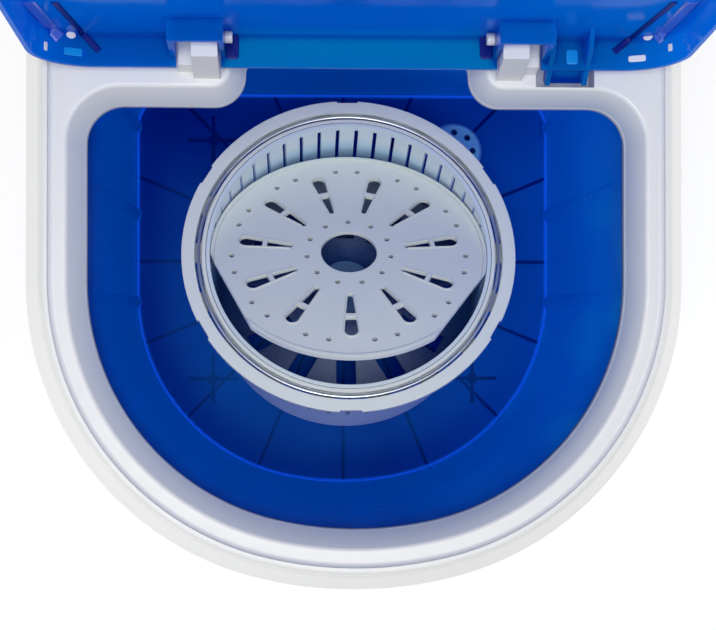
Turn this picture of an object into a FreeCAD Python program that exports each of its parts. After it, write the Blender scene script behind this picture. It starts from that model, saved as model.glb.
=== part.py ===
import FreeCAD, Part
import math
import os
import Sketcher

# Compact top-loading washer: a base with the drive, a clear tub, a collar with
# the hinged lid and a spin basket on the drive hub. Millimetres, +Z up, front at -Y.
# The origin lies on the floor, under the middle of the collar.

SIZES = {
    # plan of the machine, measured at the collar's lip
    "collar_width": 356.0,
    "collar_depth": 340.0,
    "front_radius": 222.0,
    "corner_spread": 13.0,
    "collar_rear_radius": 30.0,
    "shaft_setback": 18.5,
    # base housing and what closes it
    "foot_height": 10.0,
    "foot_radius": 16.0,
    "foot_stem_radius": 4.0,
    "foot_side_margin": 34.0,
    "foot_front_margin": 11.3,
    "foot_front_angle": 33.9,
    "foot_rear_margin": 42.0,
    "base_height": 158.0,
    "base_inset": 20.0,
    "base_wall": 3.0,
    "base_shoulder_radius": 8.0,
    "base_rear_radius": 30.0,
    "plate_thickness": 3.0,
    "plate_clearance": 0.4,
    "post_radius": 5.5,
    "post_height": 36.0,
    "post_bite": 1.5,
    "post_front_angle": 18.0,
    "post_rear_reach": 92.0,
    "screw_radius": 2.0,
    "screw_head_radius": 4.5,
    "screw_head_height": 2.2,
    "screw_bite": 12.0,
    "screw_clearance": 0.3,
    "vent_width": 64.0,
    "vent_slot": 4.0,
    "vent_pitch": 9.0,
    "vent_count": 7,
    "vent_height": 60.0,
    # controls on the front
    "knob_spacing": 96.0,
    "knob_height": 92.0,
    "dial_radius": 31.0,
    "dial_rise": 3.0,
    "dial_depth": 21.0,
    "knob_radius": 23.0,
    "knob_skirt": 3.0,
    "knob_grip_radius": 17.0,
    "knob_grip_width": 13.0,
    "knob_length": 16.0,
    "knob_gap": 0.4,
    "control_shaft_radius": 3.0,
    "control_shaft_fit": 0.06,
    "control_bore_gap": 0.4,
    "control_shaft_end": 3.0,
    "timer_width": 46.0,
    "timer_height": 42.0,
    "timer_depth": 28.0,
    "selector_width": 36.0,
    "selector_height": 34.0,
    "selector_depth": 22.0,
    # tub
    "tub_height": 236.0,
    "tub_floor_rise": 24.0,
    "tub_skirt": 18.0,
    "tub_inset": 31.0,
    "tub_wall": 2.5,
    "tub_floor_thickness": 3.0,
    "tub_rear_radius": 26.0,
    "tub_floor_radius": 3.0,
    "tub_fit": 0.4,
    "tub_flange_width": 7.0,
    "tub_flange_thickness": 3.0,
    "tub_rib_radius": 5.0,
    "tub_rib_pitch": 61.5,
    "tub_rib_middle": 33.0,
    "tub_rib_top_radius": 1.5,
    "tub_rib_top_gap": 4.0,
    "web_count": 16,
    "web_thickness": 2.4,
    "web_depth": 24.0,
    "web_start": 38.0,
    "boss_margin": 87.0,
    "boss_front": 82.0,
    "boss_radius": 7.0,
    "boss_cross": 34.0,
    # collar
    "collar_overlap": 16.0,
    "collar_side": 34.0,
    "collar_wall": 3.0,
    "collar_slope_width": 10.7,
    "collar_slope_drop": 20.0,
    "collar_step": 1.3,
    "collar_band": 7.5,
    "collar_lip_radius": 4.0,
    "collar_band_radius": 2.2,
    "mouth_edge_radius": 2.5,
    "gasket_thickness": 2.0,
    "mouth_inset": 33.6,
    "mouth_setback": 80.3,
    "mouth_rear_radius": 20.0,
    "alcove_width": 119.5,
    "alcove_depth": 26.0,
    "alcove_shoulder_radius": 17.0,
    "alcove_corner_radius": 8.0,
    "mouth_chamfer_width": 8.5,
    "mouth_chamfer_drop": 15.0,
    "deck_recess": 4.0,
    "deck_margin": 4.0,
    # lid and its hinge
    "hinge_setback": 49.5,
    "hinge_rise": 18.0,
    "hinge_pin_radius": 3.2,
    "hinge_fit": 0.06,
    "hinge_pin_seat": 7.0,
    "hinge_pin_end": 3.7,
    "lug_spacing": 158.6,
    "lug_width": 13.5,
    "lug_foot": 18.5,
    "lug_front": 12.0,
    "lug_back": 14.0,
    "lug_top": 10.5,
    "lug_step_width": 8.0,
    "lug_step_height": 10.0,
    "lug_step_front": 15.0,
    "lug_step_back": 8.0,
    "lid_inset": 11.0,
    "lid_wall": 2.5,
    "lid_gap": 0.5,
    "lid_rise": 6.0,
    "lid_overhang": 10.0,
    "lid_rear_radius": 30.0,
    "lid_edge_radius": 4.0,
    "lid_notch_reach": 20.0,
    "lid_notch_gap": 0.8,
    "lid_ear_drop": 9.0,
    "lid_open_angle": 96.0,
    "lid_tab_width": 64.0,
    "lid_tab_reach": 8.0,
    "stop_offset": 98.5,
    "stop_width": 22.0,
    "stop_fin": 2.5,
    "stop_front": 8.0,
    "stop_back": 9.5,
    "stop_reach": 24.0,
    "stop_drop": 15.0,
    "stop_tip": 5.0,
    "stop_tip_drop": 4.0,
    "stop_heel": 2.0,
    "stop_heel_drop": 6.0,
    "stop_well_gap": 4.5,
    "stop_well_setback": 22.0,
    "stop_well_length": 49.0,
    "stop_well_depth": 15.0,
    # spin basket
    "basket_lean": 18.7,
    "basket_shift": 1.3,
    "basket_seat_gap": 0.3,
    "ring_room": 14.0,
    "ring_flange": 8.0,
    "ring_flange_thickness": 3.0,
    "ring_groove": 4.5,
    "ring_groove_depth": 3.5,
    "ring_floor": 2.0,
    "ring_rim_drop": 1.0,
    "ring_band": 17.5,
    "ring_slot_count": 18,
    "ring_slot_angle": 13.0,
    "ring_slot_gap": 0.55,
    "ring_notch_count": 6,
    "ring_notch_width": 13.4,
    "ring_notch_depth": 1.2,
    "hoop_radius": 0.9,
    "basket_depth": 94.0,
    "basket_wall": 2.4,
    "basket_taper": 1.5,
    "basket_seam": 0.3,
    "basket_shoulder": 1.6,
    "basket_shoulder_depth": 3.0,
    "basket_recess": 14.0,
    "basket_floor": 3.0,
    "basket_slot_count": 45,
    "basket_slot_width": 2.4,
    "basket_slot_foot": 12.0,
    "basket_slot_head": 0.8,
    "basket_drain_count": 12,
    "basket_drain_width": 13.0,
    "basket_drain_inner": 40.0,
    "basket_drain_margin": 13.0,
    "basket_hub_radius": 21.0,
    "basket_hub_top_radius": 18.0,
    "basket_grip": 9.3,
    "basket_screw_gap": 1.5,
    "basket_hub_roof": 3.0,
    # basket cover
    "cover_clearance": 0.35,
    "cover_thickness": 2.5,
    "cover_bead": 1.2,
    "cover_bead_width": 2.4,
    "cover_hole": 17.5,
    "cover_tilt": 40.8,
    "cover_depth": 4.0,
    "cover_pin_radius": 1.2,
    "cover_pin_length": 1.6,
    "cover_pin_fit": 0.06,
    "cover_slot_count": 11,
    "cover_slot_start": 19.5,
    "cover_slot_margin": 21.15,
    "cover_slot_narrow": 1.65,
    "cover_slot_wide": 4.2,
    "cover_bar_share": 0.571,
    "cover_bar": 2.8,
    "cover_lip": 0.9,
    "cover_lip_height": 0.5,
    "cover_vent": 1.6,
    "cover_vent_start": 9.0,
    "cover_vent_margin": 13.15,
    "cover_vent_angle": 5.6,
    "cover_flat_share": 0.927,
    "cover_flat_front_right": -33.0,
    "cover_flat_front_left": -156.0,
    # drive
    "shaft_radius": 6.0,
    "shaft_fit": 0.05,
    "shaft_bottom": 18.0,
    "drive_hex": 26.0,
    "drive_hex_fit": 0.5,
    "drive_boss_room": 2.1,
    "pulsator_margin": 40.0,
    "pulsator_gap": 5.0,
    "pulsator_edge": 4.0,
    "pulsator_crown": 9.0,
    "pulsator_hub_radius": 16.5,
    "vane_count": 4,
    "vane_width": 8.0,
    "vane_height": 4.0,
    "vane_start": 19.0,
    "vane_margin": 4.0,
    "drive_screw_radius": 8.0,
    "drive_screw_height": 3.0,
    "drive_screw_shank": 2.5,
    "drive_screw_bite": 10.0,
    "housing_flange_radius": 36.0,
    "housing_flange": 7.0,
    "housing_radius": 21.0,
    "housing_bottom": 76.0,
    "housing_neck_radius": 15.6,
    "housing_neck_gap": 0.3,
    "housing_neck_rise": 3.0,
    "bush_radius": 11.0,
    "bush_length": 18.0,
    "bush_inset": 2.0,
    "seal_radius": 12.0,
    "seal_length": 8.0,
    "seal_gap": 0.05,
    "pulley_radius": 68.0,
    "pulley_width": 14.0,
    "pulley_bottom": 28.0,
    "pulley_hub_radius": 14.0,
    "pulley_hub_length": 30.0,
    "pulley_groove": 7.5,
    "pulley_rim": 6.0,
    "pulley_lip": 1.0,
    "pulley_web": 4.0,
    "nut_hex": 19.0,
    "nut_height": 6.0,
    "motor_room": 18.0,
    "motor_offset_y": -60.0,
    "motor_radius": 52.0,
    "motor_height": 84.0,
    "motor_cap": 14.0,
    "motor_cap_inset": 5.0,
    "motor_shaft_radius": 4.0,
    "motor_shaft_gap": 0.1,
    "motor_pulley_radius": 15.5,
    "motor_bolt_circle": 38.0,
    "motor_bolt_depth": 10.0,
    "bolt_clearance": 5.5,
    "bracket_thickness": 4.0,
    "bracket_margin": 20.0,
    "belt_thickness": 6.0,
    "belt_width": 8.0,
    "belt_gap": 0.4,
    "capacitor_radius": 17.0,
    "capacitor_height": 56.0,
    "capacitor_side": 78.0,
    "capacitor_front": 98.0,
    "capacitor_strap": 1.2,
    "capacitor_strap_height": 14.0,
    "capacitor_gap": 0.2,
    # drain and mains entry
    "drain_side": 100.0,
    "drain_margin": 40.0,
    "drain_radius": 12.0,
    "drain_wall": 2.0,
    "drain_flange": 6.0,
    "drain_flange_thickness": 3.0,
    "drain_room_gap": 2.0,
    "drain_bend": 20.0,
    "drain_height": 62.0,
    "drain_end": 20.0,
    "drain_fit": 0.3,
    "filter_radius": 20.0,
    "filter_height": 7.0,
    "filter_dome": 3.0,
    "filter_hole_count": 8,
    "filter_hole": 2.2,
    "filter_spigot": 9.0,
    "filter_gap": 0.2,
    "gland_side": 83.0,
    "gland_height": 45.0,
    "gland_radius": 8.0,
    "gland_flange": 4.0,
    "gland_length": 13.0,
    "gland_bore": 3.6,
}


class Size:
    """A length with the sheet expression that gives it, so that sums keep both."""

    def __init__(self, value, text):
        self.value = value
        self.text = text

    def joined(self, other, sign, value):
        return Size(value, f"({self.text} {sign} {other.text})")

    def __add__(self, other):
        other = as_size(other)
        return self.joined(other, "+", self.value + other.value)

    def __radd__(self, other):
        return as_size(other) + self

    def __sub__(self, other):
        other = as_size(other)
        return self.joined(other, "-", self.value - other.value)

    def __rsub__(self, other):
        return as_size(other) - self

    def __mul__(self, other):
        other = as_size(other)
        return self.joined(other, "*", self.value * other.value)

    def __rmul__(self, other):
        return as_size(other) * self

    def __truediv__(self, other):
        other = as_size(other)
        return self.joined(other, "/", self.value / other.value)

    def __rtruediv__(self, other):
        return as_size(other) / self

    def __neg__(self):
        return Size(-self.value, f"(-1 * {self.text})")


def as_size(number):
    return number if isinstance(number, Size) else Size(float(number), repr(float(number)))


def sine(degrees):
    degrees = as_size(degrees)
    return Size(math.sin(math.radians(degrees.value)), f"sin({degrees.text} * 1 deg)")


def cosine(degrees):
    degrees = as_size(degrees)
    return Size(math.cos(math.radians(degrees.value)), f"cos({degrees.text} * 1 deg)")


doc = FreeCAD.newDocument("compact_washer")
sheet = doc.addObject("Spreadsheet::Sheet", "Sizes")
for row, (alias, number) in enumerate(SIZES.items(), 1):
    sheet.set(f"A{row}", str(number))
    sheet.setAlias(f"A{row}", alias)
doc.recompute()


class Named:
    """Every size of the sheet as an attribute."""


s = Named()
for alias, number in SIZES.items():
    setattr(s, alias, Size(float(number), f"Sizes.{alias}"))

# Heights and places that several pieces share
half_width = s.collar_width / 2
half_depth = s.collar_depth / 2
corner_radius = half_width - s.corner_spread
base_bottom = s.foot_height
base_top = base_bottom + s.base_height
tub_floor = base_top + s.tub_floor_rise
tub_bottom = base_top - s.tub_skirt
tub_rim = tub_floor + s.tub_height
floor_under = tub_floor - s.tub_floor_thickness
collar_bottom = tub_rim - s.collar_overlap
collar_block = tub_rim + s.gasket_thickness
collar_seat = collar_bottom + s.collar_side
collar_top = collar_seat + s.collar_band
deck = collar_top - s.deck_recess
hinge_y = half_depth - s.hinge_setback
hinge_z = deck + s.hinge_rise
plate_top = base_bottom + s.plate_thickness
bracket_under = tub_bottom - s.bracket_thickness - 2 * s.screw_clearance
motor_x = -1 * (half_width - s.base_inset - s.base_wall - s.motor_radius - s.motor_room)
motor_y = s.shaft_setback + s.motor_offset_y
shoulder = half_depth - s.mouth_setback
tub_rear = half_depth - s.tub_inset - s.tub_wall
ring_radius = tub_rear - s.shaft_setback - s.ring_room
basket_mouth = ring_radius - s.ring_band
basket_foot = basket_mouth - s.basket_taper
basket_y = s.shaft_setback + s.basket_shift
standing = (basket_foot + s.basket_wall) * sine(s.basket_lean) + s.basket_depth * cosine(s.basket_lean)
basket_z = tub_floor + s.basket_seat_gap + standing
ring_low = -(s.ring_groove_depth + s.ring_floor)
basket_floor_low = s.basket_recess - s.basket_depth
boss_rear = s.drive_hex / 2 / cosine(30) - s.basket_shift
boss_under = basket_floor_low - s.drive_boss_room - boss_rear * sine(s.basket_lean)
boss_top = basket_z + boss_under / cosine(s.basket_lean)
drain_x = half_width - s.drain_side
drain_y = tub_rear - s.drain_margin
base_front = -(half_depth - s.base_inset)
base_rear = half_depth - s.base_inset
dial_face = base_front - s.dial_rise
dial_back = dial_face + s.dial_depth
belt_middle = s.pulley_bottom + s.pulley_width / 2
SQUARE = 90.0
TURN = 360.0

subparts = []


def bind(item, path, size):
    item.setExpression(path, as_size(size).text)


def piece(label, x=0, y=0, z=0, axis=None, angle=0):
    """An empty body at x, y, z, turned by angle about axis."""
    made = doc.addObject("PartDesign::Body", label)
    made.Label = label
    if axis:
        made.Placement = FreeCAD.Placement(FreeCAD.Vector(), FreeCAD.Rotation(FreeCAD.Vector(*axis), 1))
        bind(made, "Placement.Rotation.Angle", angle)
    for letter, size in zip("xyz", (x, y, z)):
        bind(made, f"Placement.Base.{letter}", size)
    subparts.append(made)
    return made


def plane(body, role):
    return next(f for f in body.Origin.OriginFeatures if f.Role == role)


def sketch(body, role="XY_Plane", height=0, x=0, y=0):
    made = body.newObject("Sketcher::SketchObject", f"{body.Name}_sketch")
    made.AttachmentSupport = [(plane(body, role), "")]
    made.MapMode = "FlatFace"
    for letter, size in zip("xyz", (x, y, height)):
        bind(made, f"AttachmentOffset.Base.{letter}", size)
    return made


def set_size(sk, kind, size, *where):
    size = as_size(size)
    number = sk.addConstraint(Sketcher.Constraint(kind, *where, size.value))
    sk.setExpression(f"Constraints[{number}]", size.text)


def fix(sk, geometry, point, x, y):
    """Holds one point of a sketch at x, y from the sketch's origin."""
    set_size(sk, "DistanceX", x, -1, 1, geometry, point)
    set_size(sk, "DistanceY", y, -1, 1, geometry, point)


def vector(x, y):
    return FreeCAD.Vector(as_size(x).value, as_size(y).value, 0)


def line(sk, start, end):
    return sk.addGeometry(Part.LineSegment(vector(*start), vector(*end)))


def arc(sk, x, y, radius, start, end):
    circle_line = Part.Circle(vector(x, y), FreeCAD.Vector(0, 0, 1), as_size(radius).value)
    return sk.addGeometry(Part.ArcOfCircle(circle_line, start, end))


def polygon(sk, points):
    count = len(points)
    lines = [line(sk, points[i], points[(i + 1) % count]) for i in range(count)]
    for i in range(count):
        sk.addConstraint(Sketcher.Constraint("Coincident", lines[i], 2, lines[(i + 1) % count], 1))
    for geometry, (x, y) in zip(lines, points):
        fix(sk, geometry, 1, x, y)


def rectangle(sk, x0, x1, y0, y1):
    polygon(sk, [(x0, y0), (x1, y0), (x1, y1), (x0, y1)])


def circle(sk, x, y, radius):
    made = sk.addGeometry(Part.Circle(vector(x, y), FreeCAD.Vector(0, 0, 1), as_size(radius).value))
    fix(sk, made, 3, x, y)
    set_size(sk, "Radius", radius, made)


def obround(sk, length, y, half):
    """A slot of an overall length along X with round ends, centred on the Y axis."""
    reach = length / 2 - half
    right = arc(sk, reach, y, half, -math.pi / 2, math.pi / 2)
    top = line(sk, (reach, y + half), (-reach, y + half))
    left = arc(sk, -reach, y, half, math.pi / 2, 1.5 * math.pi)
    low = line(sk, (-reach, y - half), (reach, y - half))
    for ends in ((right, 2, top, 1), (top, 2, left, 1), (left, 2, low, 1), (low, 2, right, 1)):
        sk.addConstraint(Sketcher.Constraint("Tangent", *ends))
    fix(sk, right, 3, reach, y)
    fix(sk, left, 3, -reach, y)
    set_size(sk, "Radius", half, right)
    set_size(sk, "Radius", half, left)


def hexagon(sk, across):
    half = across / 2
    point = half / cosine(30)
    side = point / 2
    polygon(sk, [(point, 0), (side, half), (-side, half), (-point, 0), (-side, -half), (side, -half)])


def half_round(sk, x, y, radius, side):
    """A half circle whose flat lies on x and whose round faces side, -1 or 1."""
    start = math.pi / 2 if side < 0 else -math.pi / 2
    bow = arc(sk, x, y, radius, start, start + math.pi)
    flat = line(sk, (x, y - side * radius), (x, y + side * radius))
    sk.addConstraint(Sketcher.Constraint("Coincident", bow, 1, flat, 1))
    sk.addConstraint(Sketcher.Constraint("Coincident", bow, 2, flat, 2))
    fix(sk, bow, 3, x, y)
    set_size(sk, "Radius", radius, bow)
    sk.addConstraint(Sketcher.Constraint("Vertical", flat))
    sk.addConstraint(Sketcher.Constraint("PointOnObject", bow, 3, flat))


def d_plan(sk, inset, rear_radius, rear=None, shift=0):
    """The machine's plan drawn in by inset: straight back and sides, bowed front."""
    half = half_width - inset
    front = -1 * (half_depth - inset) - shift
    back = (half_depth - inset if rear is None else rear) - shift
    bow = s.front_radius - inset
    side = corner_radius - inset
    bow_y = front + bow
    side_x = half - side
    reach = math.sqrt((bow.value - side.value) ** 2 - side_x.value**2)
    side_y = bow_y.value - reach
    meet = math.atan2(-reach, side_x.value)
    corner = as_size(rear_radius)
    corner_x, corner_y = half - corner, back - corner
    front_arc = arc(sk, 0, bow_y, bow, -math.pi - meet, meet)
    right_arc = arc(sk, side_x, side_y, side, meet, 0)
    right = line(sk, (half, side_y), (half, corner_y))
    rear_right = arc(sk, corner_x, corner_y, corner, 0, math.pi / 2)
    rear_line = line(sk, (corner_x, back), (-corner_x, back))
    rear_left = arc(sk, -corner_x, corner_y, corner, math.pi / 2, math.pi)
    left = line(sk, (-half, corner_y), (-half, side_y))
    left_arc = arc(sk, -side_x, side_y, side, math.pi, math.pi - meet)
    loop = [front_arc, right_arc, right, rear_right, rear_line, rear_left, left, left_arc]
    for first, second in zip(loop, loop[1:] + loop[:1]):
        sk.addConstraint(Sketcher.Constraint("Tangent", first, 2, second, 1))
    sk.addConstraint(Sketcher.Constraint("Vertical", right))
    sk.addConstraint(Sketcher.Constraint("Vertical", left))
    sk.addConstraint(Sketcher.Constraint("Horizontal", rear_line))
    set_size(sk, "DistanceX", half, -1, 1, right, 1)
    set_size(sk, "DistanceX", -half, -1, 1, left, 1)
    set_size(sk, "DistanceY", back, -1, 1, rear_line, 1)
    sk.addConstraint(Sketcher.Constraint("PointOnObject", front_arc, 3, -2))
    set_size(sk, "DistanceY", bow_y, -1, 1, front_arc, 3)
    set_size(sk, "Radius", bow, front_arc)
    set_size(sk, "Radius", side, right_arc)
    sk.addConstraint(Sketcher.Constraint("Equal", right_arc, left_arc))
    set_size(sk, "Radius", corner, rear_right)
    sk.addConstraint(Sketcher.Constraint("Equal", rear_right, rear_left))


def feature(body, kind, sk):
    made = body.newObject(f"PartDesign::{kind}", f"{body.Name}_{kind}")
    made.Profile = sk
    return made


def pad(body, sk, length, backwards=False):
    made = feature(body, "Pad", sk)
    bind(made, "Length", length)
    made.Reversed = backwards
    return made


def pocket(body, sk, length, backwards=False):
    """Cuts against the sketch's normal, or along it when backwards."""
    made = feature(body, "Pocket", sk)
    bind(made, "Length", length)
    made.Reversed = backwards
    return made


def revolve(body, sk):
    made = feature(body, "Revolution", sk)
    made.ReferenceAxis = (sk, ["V_Axis"])
    made.Angle = TURN
    return made


def groove(body, sk):
    made = feature(body, "Groove", sk)
    made.ReferenceAxis = (sk, ["V_Axis"])
    made.Angle = TURN
    return made


def ring_of(body, originals, axis, count):
    """Repeats features about the normal of a sketch, or about an axis of the body."""
    made = body.newObject("PartDesign::PolarPattern", f"{body.Name}_PolarPattern")
    made.Originals = originals
    made.Axis = (axis, ["N_Axis" if axis.TypeId == "Sketcher::SketchObject" else ""])
    made.Angle = TURN
    bind(made, "Occurrences", count)
    body.Tip = made
    return made


def row_of(body, originals, axis_sketch, axis, pitch, count):
    made = body.newObject("PartDesign::LinearPattern", f"{body.Name}_LinearPattern")
    made.Originals = originals
    made.Direction = (axis_sketch, [axis])
    bind(made, "Length", pitch * (count - 1))
    bind(made, "Occurrences", count)
    body.Tip = made
    return made


def mirrored(body, originals):
    made = body.newObject("PartDesign::Mirrored", f"{body.Name}_Mirrored")
    made.Originals = originals
    made.MirrorPlane = (plane(body, "YZ_Plane"), [""])
    body.Tip = made
    return made


def edges_of(made, test):
    doc.recompute()
    return [f"Edge{i}" for i, edge in enumerate(made.Shape.Edges, 1) if test(edge)]


def fillet(body, made, test, radius):
    rounded = body.newObject("PartDesign::Fillet", f"{body.Name}_Fillet")
    rounded.Base = (made, edges_of(made, test))
    bind(rounded, "Radius", radius)
    return rounded


def chamfer(body, made, test, first, second, flip):
    cut = body.newObject("PartDesign::Chamfer", f"{body.Name}_Chamfer")
    cut.Base = (made, edges_of(made, test))
    cut.ChamferType = "Two distances"
    bind(cut, "Size", first)
    bind(cut, "Size2", second)
    cut.FlipDirection = flip
    return cut


def at_height(edge, height):
    """Whether an edge lies flat at a height."""
    box = edge.BoundBox
    return abs(box.ZMin - height) < 0.01 and abs(box.ZMax - height) < 0.01


def turned(label, profile, x=0, y=0, z=0, axis=None, angle=0):
    """A piece revolved about its own Z axis from radius and height points."""
    body = piece(label, x, y, z, axis, angle)
    sk = sketch(body, "XZ_Plane")
    polygon(sk, profile)
    revolve(body, sk)
    return body


def tube(outer, inner, low, high):
    return [(inner, low), (outer, low), (outer, high), (inner, high)]


def stud(radius, low, high):
    return [(0, low), (radius, low), (radius, high), (0, high)]


def base_corner(margin, angle):
    """A place on the base's front right corner, a margin inside its outline."""
    side = corner_radius - s.base_inset
    centre_x = half_width - s.base_inset - side
    bow = s.front_radius - s.base_inset
    reach = math.sqrt((bow.value - side.value) ** 2 - centre_x.value**2)
    centre_y = base_front + bow - reach
    return centre_x + (side - margin) * cosine(angle), centre_y - (side - margin) * sine(angle)


def post_places():
    """Centres of the four screw posts that stand against the base's inner wall."""
    margin = s.base_wall + s.post_radius - s.post_bite
    front_x, front_y = base_corner(margin, s.post_front_angle)
    rear_x = half_width - s.base_inset - s.base_wall - s.post_radius + s.post_bite
    rear_y = s.shaft_setback + s.post_rear_reach
    return [(front_x, front_y), (-front_x, front_y), (rear_x, rear_y), (-rear_x, rear_y)]


def foot_places():
    front_x, front_y = base_corner(s.foot_front_margin, s.foot_front_angle)
    x = half_width - s.base_inset - s.foot_side_margin
    rear = base_rear - s.foot_rear_margin
    return [(front_x, front_y), (-front_x, front_y), (x, rear), (-x, rear)]


def boss_places():
    x = half_width - s.boss_margin
    front = s.shaft_setback - s.boss_front
    return [(x, front), (-x, front)]


def cross_places():
    """Centres of the crossed ribs: at the bracket's bosses and at the rear left."""
    return boss_places() + [(s.boss_margin - half_width, drain_y)]


def circles(sk, places, radius):
    for x, y in places:
        circle(sk, x, y, radius)


def make_base_housing():
    body = piece("base_housing")
    plan = sketch(body, height=base_bottom)
    d_plan(plan, s.base_inset, s.base_rear_radius)
    shell = pad(body, plan, s.base_height)
    rounded = fillet(body, shell, lambda e: at_height(e, base_top.value), s.base_shoulder_radius)
    body.Tip = rounded
    inside = sketch(body, height=base_bottom)
    d_plan(inside, s.base_inset + s.base_wall, s.base_rear_radius - s.base_wall)
    pocket(body, inside, s.base_height - s.base_wall, backwards=True)
    opening = sketch(body, height=base_top)
    d_plan(opening, s.tub_inset - s.tub_fit, s.tub_rear_radius + s.tub_fit)
    pocket(body, opening, 2 * s.base_wall)
    places = [(s.knob_spacing / 2, s.knob_height), (-s.knob_spacing / 2, s.knob_height)]
    dials = sketch(body, "XZ_Plane", height=-dial_face)
    circles(dials, places, s.dial_radius)
    pad(body, dials, s.dial_depth, backwards=True)
    bores = sketch(body, "XZ_Plane", height=-dial_face)
    bore_radius = s.control_shaft_radius + s.control_bore_gap
    circles(bores, places, bore_radius)
    pocket(body, bores, s.dial_depth)
    posts = sketch(body, height=plate_top)
    circles(posts, post_places(), s.post_radius)
    pad(body, posts, s.post_height)
    pilots = sketch(body, height=plate_top)
    circles(pilots, post_places(), s.screw_radius)
    pocket(body, pilots, s.screw_bite + s.screw_clearance, backwards=True)
    slot = sketch(body, "XZ_Plane", height=-base_rear)
    rectangle(slot, -s.vent_width / 2, s.vent_width / 2, s.vent_height, s.vent_height + s.vent_slot)
    vent = pocket(body, slot, 2 * s.base_wall, backwards=True)
    row_of(body, [vent], slot, "V_Axis", s.vent_pitch, s.vent_count)
    entries = sketch(body, "XZ_Plane", height=-base_rear)
    circle(entries, drain_x, s.drain_height, s.drain_radius + s.drain_fit)
    circle(entries, -(half_width - s.gland_side), s.gland_height, s.gland_radius + s.drain_fit)
    body.Tip = pocket(body, entries, 2 * s.base_wall, backwards=True)


def make_bottom_plate():
    body = piece("bottom_plate")
    plan = sketch(body, height=base_bottom)
    edge = s.base_wall + s.plate_clearance
    d_plan(plan, s.base_inset + edge, s.base_rear_radius - edge)
    pad(body, plan, s.plate_thickness)
    holes = sketch(body, height=plate_top)
    circles(holes, post_places(), s.screw_radius + s.screw_clearance)
    circles(holes, foot_places(), s.foot_stem_radius)
    pocket(body, holes, s.plate_thickness)


def make_feet():
    body = piece("rubber_feet")
    pads = sketch(body)
    circles(pads, foot_places(), s.foot_radius)
    pad(body, pads, s.foot_height)
    stems = sketch(body, height=s.foot_height)
    circles(stems, foot_places(), s.foot_stem_radius)
    pad(body, stems, s.plate_thickness)


def make_plate_screws():
    body = piece("plate_screws")
    heads = sketch(body, height=base_bottom)
    circles(heads, post_places(), s.screw_head_radius)
    pad(body, heads, s.screw_head_height, backwards=True)
    shanks = sketch(body, height=base_bottom)
    circles(shanks, post_places(), s.screw_radius)
    pad(body, shanks, s.plate_thickness + s.screw_bite)


def make_tub():
    body = piece("tub")
    plan = sketch(body, height=tub_bottom)
    d_plan(plan, s.tub_inset, s.tub_rear_radius)
    pad(body, plan, tub_rim - tub_bottom)
    inner = s.tub_inset + s.tub_wall
    inner_corner = s.tub_rear_radius - s.tub_wall
    well = sketch(body, height=tub_rim)
    d_plan(well, inner, inner_corner)
    hollow = pocket(body, well, s.tub_height)
    rounded = fillet(body, hollow, lambda e: at_height(e, tub_floor.value), s.tub_floor_radius)
    body.Tip = rounded
    under = sketch(body, height=tub_bottom)
    d_plan(under, inner, inner_corner)
    pocket(body, under, floor_under - tub_bottom, backwards=True)
    make_tub_webs(body)
    make_tub_bosses(body)
    flange = sketch(body, height=base_top)
    d_plan(flange, s.tub_inset - s.tub_flange_width, s.tub_rear_radius + s.tub_flange_width)
    d_plan(flange, s.tub_inset + s.tub_wall / 2, s.tub_rear_radius - s.tub_wall / 2)
    pad(body, flange, s.tub_flange_thickness)
    wall = half_width - inner + s.tub_wall / 2
    middle = s.shaft_setback + s.tub_rib_middle
    ribs = []
    for step in (-1, 0, 1):
        y = middle + step * s.tub_rib_pitch
        foot = sketch(body, height=tub_floor)
        half_round(foot, wall, y, s.tub_rib_radius, -1)
        head = sketch(body, height=tub_rim - s.tub_rib_top_gap)
        half_round(head, wall, y, s.tub_rib_top_radius, -1)
        rib = feature(body, "AdditiveLoft", foot)
        rib.Sections = [head]
        ribs.append(rib)
    mirrored(body, ribs)
    ports = sketch(body, height=tub_floor)
    circle(ports, 0, s.shaft_setback, s.housing_neck_radius + s.housing_neck_gap)
    circle(ports, drain_x, drain_y, s.drain_radius - s.drain_wall)
    body.Tip = pocket(body, ports, s.tub_floor_thickness)


def make_tub_webs(body):
    """The webs that stiffen the floor from below, cut off at the tub's wall."""
    web = sketch(body, height=floor_under - s.web_depth, y=s.shaft_setback)
    rectangle(web, s.web_start, half_width, -s.web_thickness / 2, s.web_thickness / 2)
    webs = ring_of(body, [pad(body, web, s.web_depth)], web, s.web_count)
    body.Tip = webs
    around = sketch(body, height=floor_under)
    rectangle(around, -s.collar_width, s.collar_width, -s.collar_width, s.collar_width)
    d_plan(around, s.tub_inset, s.tub_rear_radius)
    pocket(body, around, s.web_depth)
    drain_room = sketch(body, height=floor_under)
    circle(drain_room, drain_x, drain_y, s.drain_radius + s.drain_flange + s.drain_room_gap)
    pocket(body, drain_room, s.web_depth)


def make_tub_bosses(body):
    """Crossed ribs under the floor and the screw bosses that carry the motor bracket."""
    low = bracket_under + s.bracket_thickness
    stems = sketch(body, height=low)
    circles(stems, boss_places(), s.boss_radius)
    pad(body, stems, floor_under - low)
    for long_x in (True, False):
        bars = sketch(body, height=floor_under - s.web_depth)
        for x, y in cross_places():
            across = s.boss_cross / 2 if long_x else s.web_thickness / 2
            along = s.web_thickness / 2 if long_x else s.boss_cross / 2
            rectangle(bars, x - across, x + across, y - along, y + along)
        pad(body, bars, s.web_depth)
    pilots = sketch(body, height=low)
    circles(pilots, boss_places(), s.screw_radius)
    pocket(body, pilots, s.screw_bite + s.screw_clearance, backwards=True)


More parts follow.
